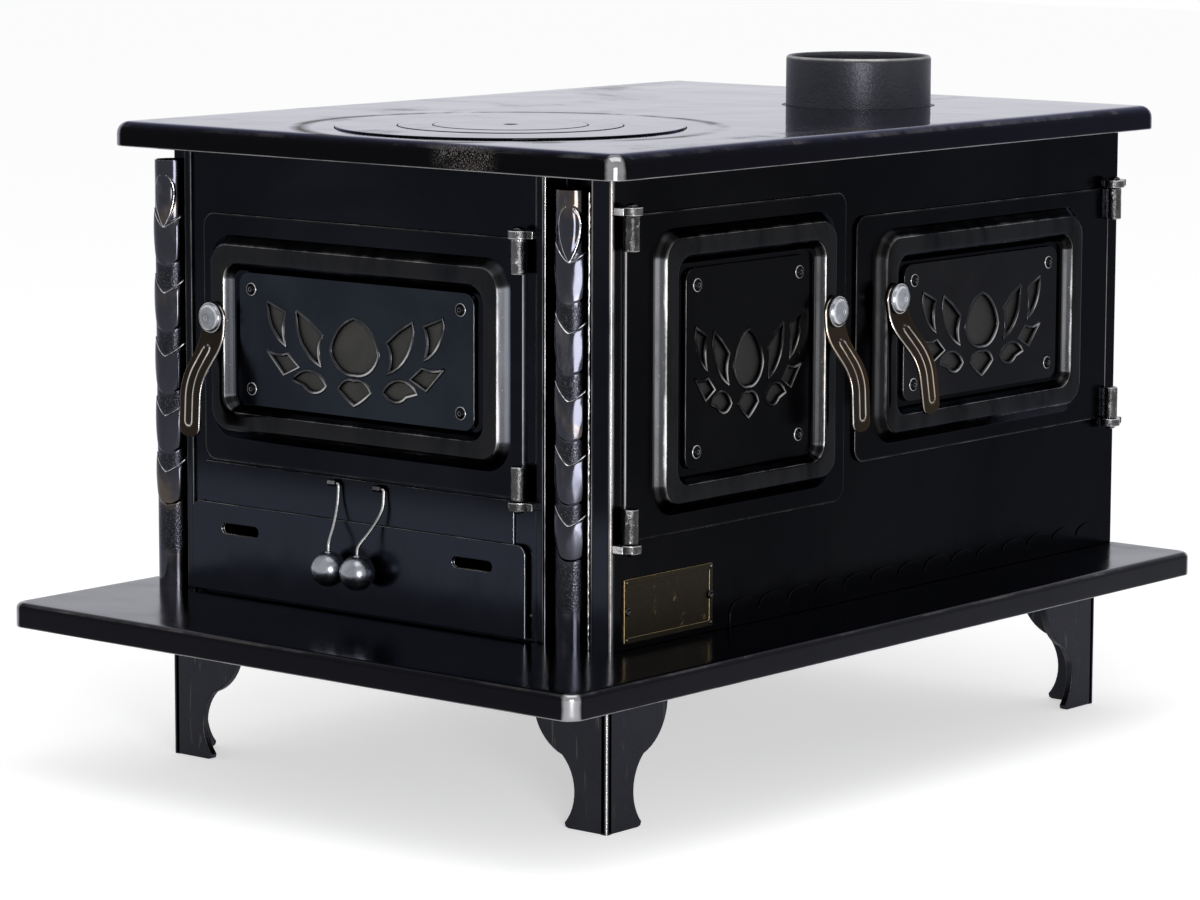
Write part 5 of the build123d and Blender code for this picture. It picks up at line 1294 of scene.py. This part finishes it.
# %% Wires and balls
WIRE_R = 1.5
BALL_R, BALL_X, BALL_Z = 17.0, -363.3, 217.0
BALL = [(0.02, -BALL_R, 0)] + [(BALL_R * math.sin(t), -BALL_R * math.cos(t), 0)
                               for t in [math.pi * k / 30 for k in range(1, 27)]]
BALL += [(3.6, BALL_R - 1.6, 0), (3.3, BALL_R - 0.9, 0), (2.9, BALL_R - 0.2, 0), (2.2, BALL_R, 0),
         (1.55, BALL_R - 0.1, 0), (1.55, BALL_R - 3.0, 0), (0.02, BALL_R - 3.0, 0)]
for side, (eye_y, ball_y) in PULLS.items():
    name, turn = f"{side}_bent_wire", eye_y - 8.0
    route = [(PULL_EYE_X, y, PULL_EYE_Z) for y in (eye_y + 5.0, eye_y - 2.0, turn + 1.2)]
    route += [(PULL_EYE_X, turn, 295.0), (-346.2, turn, 290.0), (-347.5, turn, 276.2),
              (-354.0, (turn + ball_y) / 2, 257.0)] + [(BALL_X, ball_y, z) for z in (242.0, 234.0, 226.5)]
    wire = curve_mesh(name, "3D", "NURBS", [[tuple(v * MM for v in spot) for spot in route]],
                      {"bevel_depth": WIRE_R * MM, "bevel_resolution": 4, "use_fill_caps": True})
    dress(bpy.data.objects.new(name, wire), f"{side}_pull", bright_wire, [f"{side}_pull_wire"], 50)
    piece(f"{side}_turned_ball", lathe(BALL, 56, Matrix.Translation((BALL_X, ball_y, BALL_Z))), f"{side}_pull",
          turned_aluminium, [f"{side}_pull_ball"], sharp=60)
print("pulls:", len(PULLS))

# %% [markdown]
# ## Name plate and the scalloped foot strip
# The name plate is left blank: a cast frame round a sunk field, two screws and four rivets. Along the foot of the
# front runs a strip cut in half-round scallops, a millimetre thick, which closes the joint to the hearth.

# %% Plate, screws and strip
PLATE_AT, PLATE_HALF = face_matrix("front", -257.5, 208.0), (64.5, 29.5)
SIDE_SCREW = [(0.02, 3.4, 0.6), (1.4, 3.4, 0.5), (2.8, 3.9, 0.4), (3.7, 3.4, 0.6), (4.0, 2.6, 0.4), (4.0, 2.1, 0)]
RIVET = [(0.02, 3.1, 0.8), (1.0, 2.95, 0.8), (1.7, 2.6, 0.5), (2.0, 2.2, 0.2), (2.0, 2.1, 0)]
rim = around(0, 0, *PLATE_HALF, 1.0, steps=3)
field = plate([rim], 0.0, 1.5, 0.3)
border = plate([rim, clockwise(around(0, 0, 59.5, 24.5, 2.0, steps=3))], 1.2, 2.1, 0.4)
piece("blank_name_plate", [field, border], "stove", dark_brass, ["name_plate"], PLATE_AT)
heads = [lathe(SIDE_SCREW, 20, Matrix.Translation((way * 60.5, 0, 0))) for way in (-1, 1)]
heads += [lathe(RIVET, 14, Matrix.Translation((su * 61.5, sv * 26.5, 0))) for su in (-1, 1) for sv in (-1, 1)]
piece("name_plate_heads", heads, "stove", dark_fasteners, ["name_plate_screws"], PLATE_AT)

SCALLOPS, STRIP_FROM, STRIP_TO, STRIP_LOW, CREST_LOW, CREST_RISE = 14, -166.0, 458.0, 172.3, 185.0, 13.0
pitch = (STRIP_TO - STRIP_FROM) / SCALLOPS
crests = [(STRIP_TO - pitch * (k + 0.5) + pitch * 0.49 * math.cos(t), CREST_LOW + CREST_RISE * math.sin(t))
          for k in range(SCALLOPS) for t in [math.pi * j / 9 for j in range(10)]]
strip = plate([[(STRIP_FROM, STRIP_LOW), (STRIP_TO, STRIP_LOW)] + crests], 0.0, 1.4, 0.4)
piece("scalloped_strip", dimmed(strip, 0.12), "stove", black_steel, matrix=FRONT_FACE)
print("scallops:", SCALLOPS)

# %% [markdown]
# ## Nodes that keep their CAD shape
# Inside the firebox and the oven, and at the plain rear and far end, the CAD shape is already right. These nodes
# only get the finish of their real material, except that behind the front doors the backing is a darker copy:
# painted shade.

# %% Finishes for the CAD nodes
KEPT = {"rear_panel": black_steel, "right_panel": black_steel, "firebox_liner": inner_steel, "fire_grate": grate_iron,
        "oven_box": inner_steel, "oven_rack": bright_wire, "drawer_runners": inner_steel}
for name in DOORS:
    # behind the front doors the backing gets its darker, painted-shade copy
    KEPT[f"{name}_backing_plate"] = end_backing if name == "fire_door" else shaded_front_backing
    KEPT[f"{name}_latch_tongue"] = bronzed_strip
for name, finish in KEPT.items():
    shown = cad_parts[name]
    shown.data.materials.clear()
    shown.data.materials.append(finish.material)
print("CAD nodes kept:", len(KEPT))

# %% [markdown]
# ## Studio
# The stove stands on a pale floor in plain soft light. The world is white for the camera and for reflections, and
# dimmer where it lights the object, because black gloss shows the room and not its own colour. One narrow lamp
# stands beside the camera, no higher than the cooktop, so the cooktop doesn't mirror it: on a black stove it draws
# the bright lines down every upright bend.

# %% Floor and world
FLOOR_HALF, FLOOR_GLOW, FLOOR_COLOUR = 14, 0.53, (0.80, 0.80, 0.805)
WORLD_LIGHT = 0.55


def rays(nodes, *kinds):
    """1 for these kinds of rays, 0 for the others."""
    seen = [nodes.node("ShaderNodeLightPath", output=f"Is {kind} Ray") for kind in kinds]
    either = seen[0]
    for other in seen[1:]:
        either = either.most(other)
    return either


corners = [(x * FLOOR_HALF, y * FLOOR_HALF, 0) for x, y in ((-1, -1), (1, -1), (1, 1), (-1, 1))]
floor_mesh = bpy.data.meshes.new("studio_floor")
floor_mesh.from_pydata(corners, [], [(0, 1, 2, 3)])
floor = bpy.data.objects.new("studio_floor", floor_mesh)
scene.collection.objects.link(floor)
paper = Finish("studio_paper")
paper.tree.nodes.remove(paper.tree.nodes["Principled BSDF"])
glow = paper.node("ShaderNodeEmission", {}, {"Strength": rays(paper, "Camera", "Glossy") * FLOOR_GLOW})
matt = paper.node("ShaderNodeBsdfDiffuse", {}, {"Color": FLOOR_COLOUR})
paper.feed(paper.tree.nodes["Material Output"].inputs["Surface"],
           paper.node("ShaderNodeAddShader", {}, {0: glow, 1: matt}))
floor_mesh.materials.append(paper.material)

world = bpy.data.worlds.new("studio")
scene.world = world
world.use_nodes = True
sky = Nodes(world.node_tree)
background = sky.tree.nodes["Background"]
sky.feed(background.inputs["Color"], (1, 1, 1))
sky.feed(background.inputs["Strength"],
         WORLD_LIGHT + (1 - WORLD_LIGHT) * rays(sky, "Camera", "Glossy", "Transmission"))
print("floor glows", FLOOR_GLOW, "and the world lights at", WORLD_LIGHT)

# %% Lamps
TOP_WATTS, TOP_SIZE = 30, (2.6, 2.0)
LOW_BOX_TURN, LOW_BOX_AWAY, LOW_BOX_SIZE, LOW_BOX_FOOT = math.radians(227), 2.3, (0.56, 0.66), 0.02
LOW_BOX_GLOW = 22.0  # white paper would be 1


def lamp(name, place, aim, size, watts):
    light = bpy.data.lights.new(name, "AREA")
    light.shape, light.energy = "RECTANGLE", watts
    light.size, light.size_y = size
    made = bpy.data.objects.new(name, light)
    scene.collection.objects.link(made)
    made.location = place
    made.visible_camera = False
    made.rotation_euler = (Vector(aim) - Vector(place)).to_track_quat("-Z", "Y").to_euler()


lamp("top_box", (-0.6, -0.9, 3.2), (0.05, 0, 0.4), TOP_SIZE, TOP_WATTS)
middle = LOW_BOX_SIZE[1] / 2 + LOW_BOX_FOOT
lamp("camera_side_box", (LOW_BOX_AWAY * math.cos(LOW_BOX_TURN), LOW_BOX_AWAY * math.sin(LOW_BOX_TURN), middle),
     (0, 0, middle), LOW_BOX_SIZE, LOW_BOX_GLOW * math.pi * LOW_BOX_SIZE[0] * LOW_BOX_SIZE[1])
scene.view_settings.view_transform = "Standard"

# %% [markdown]
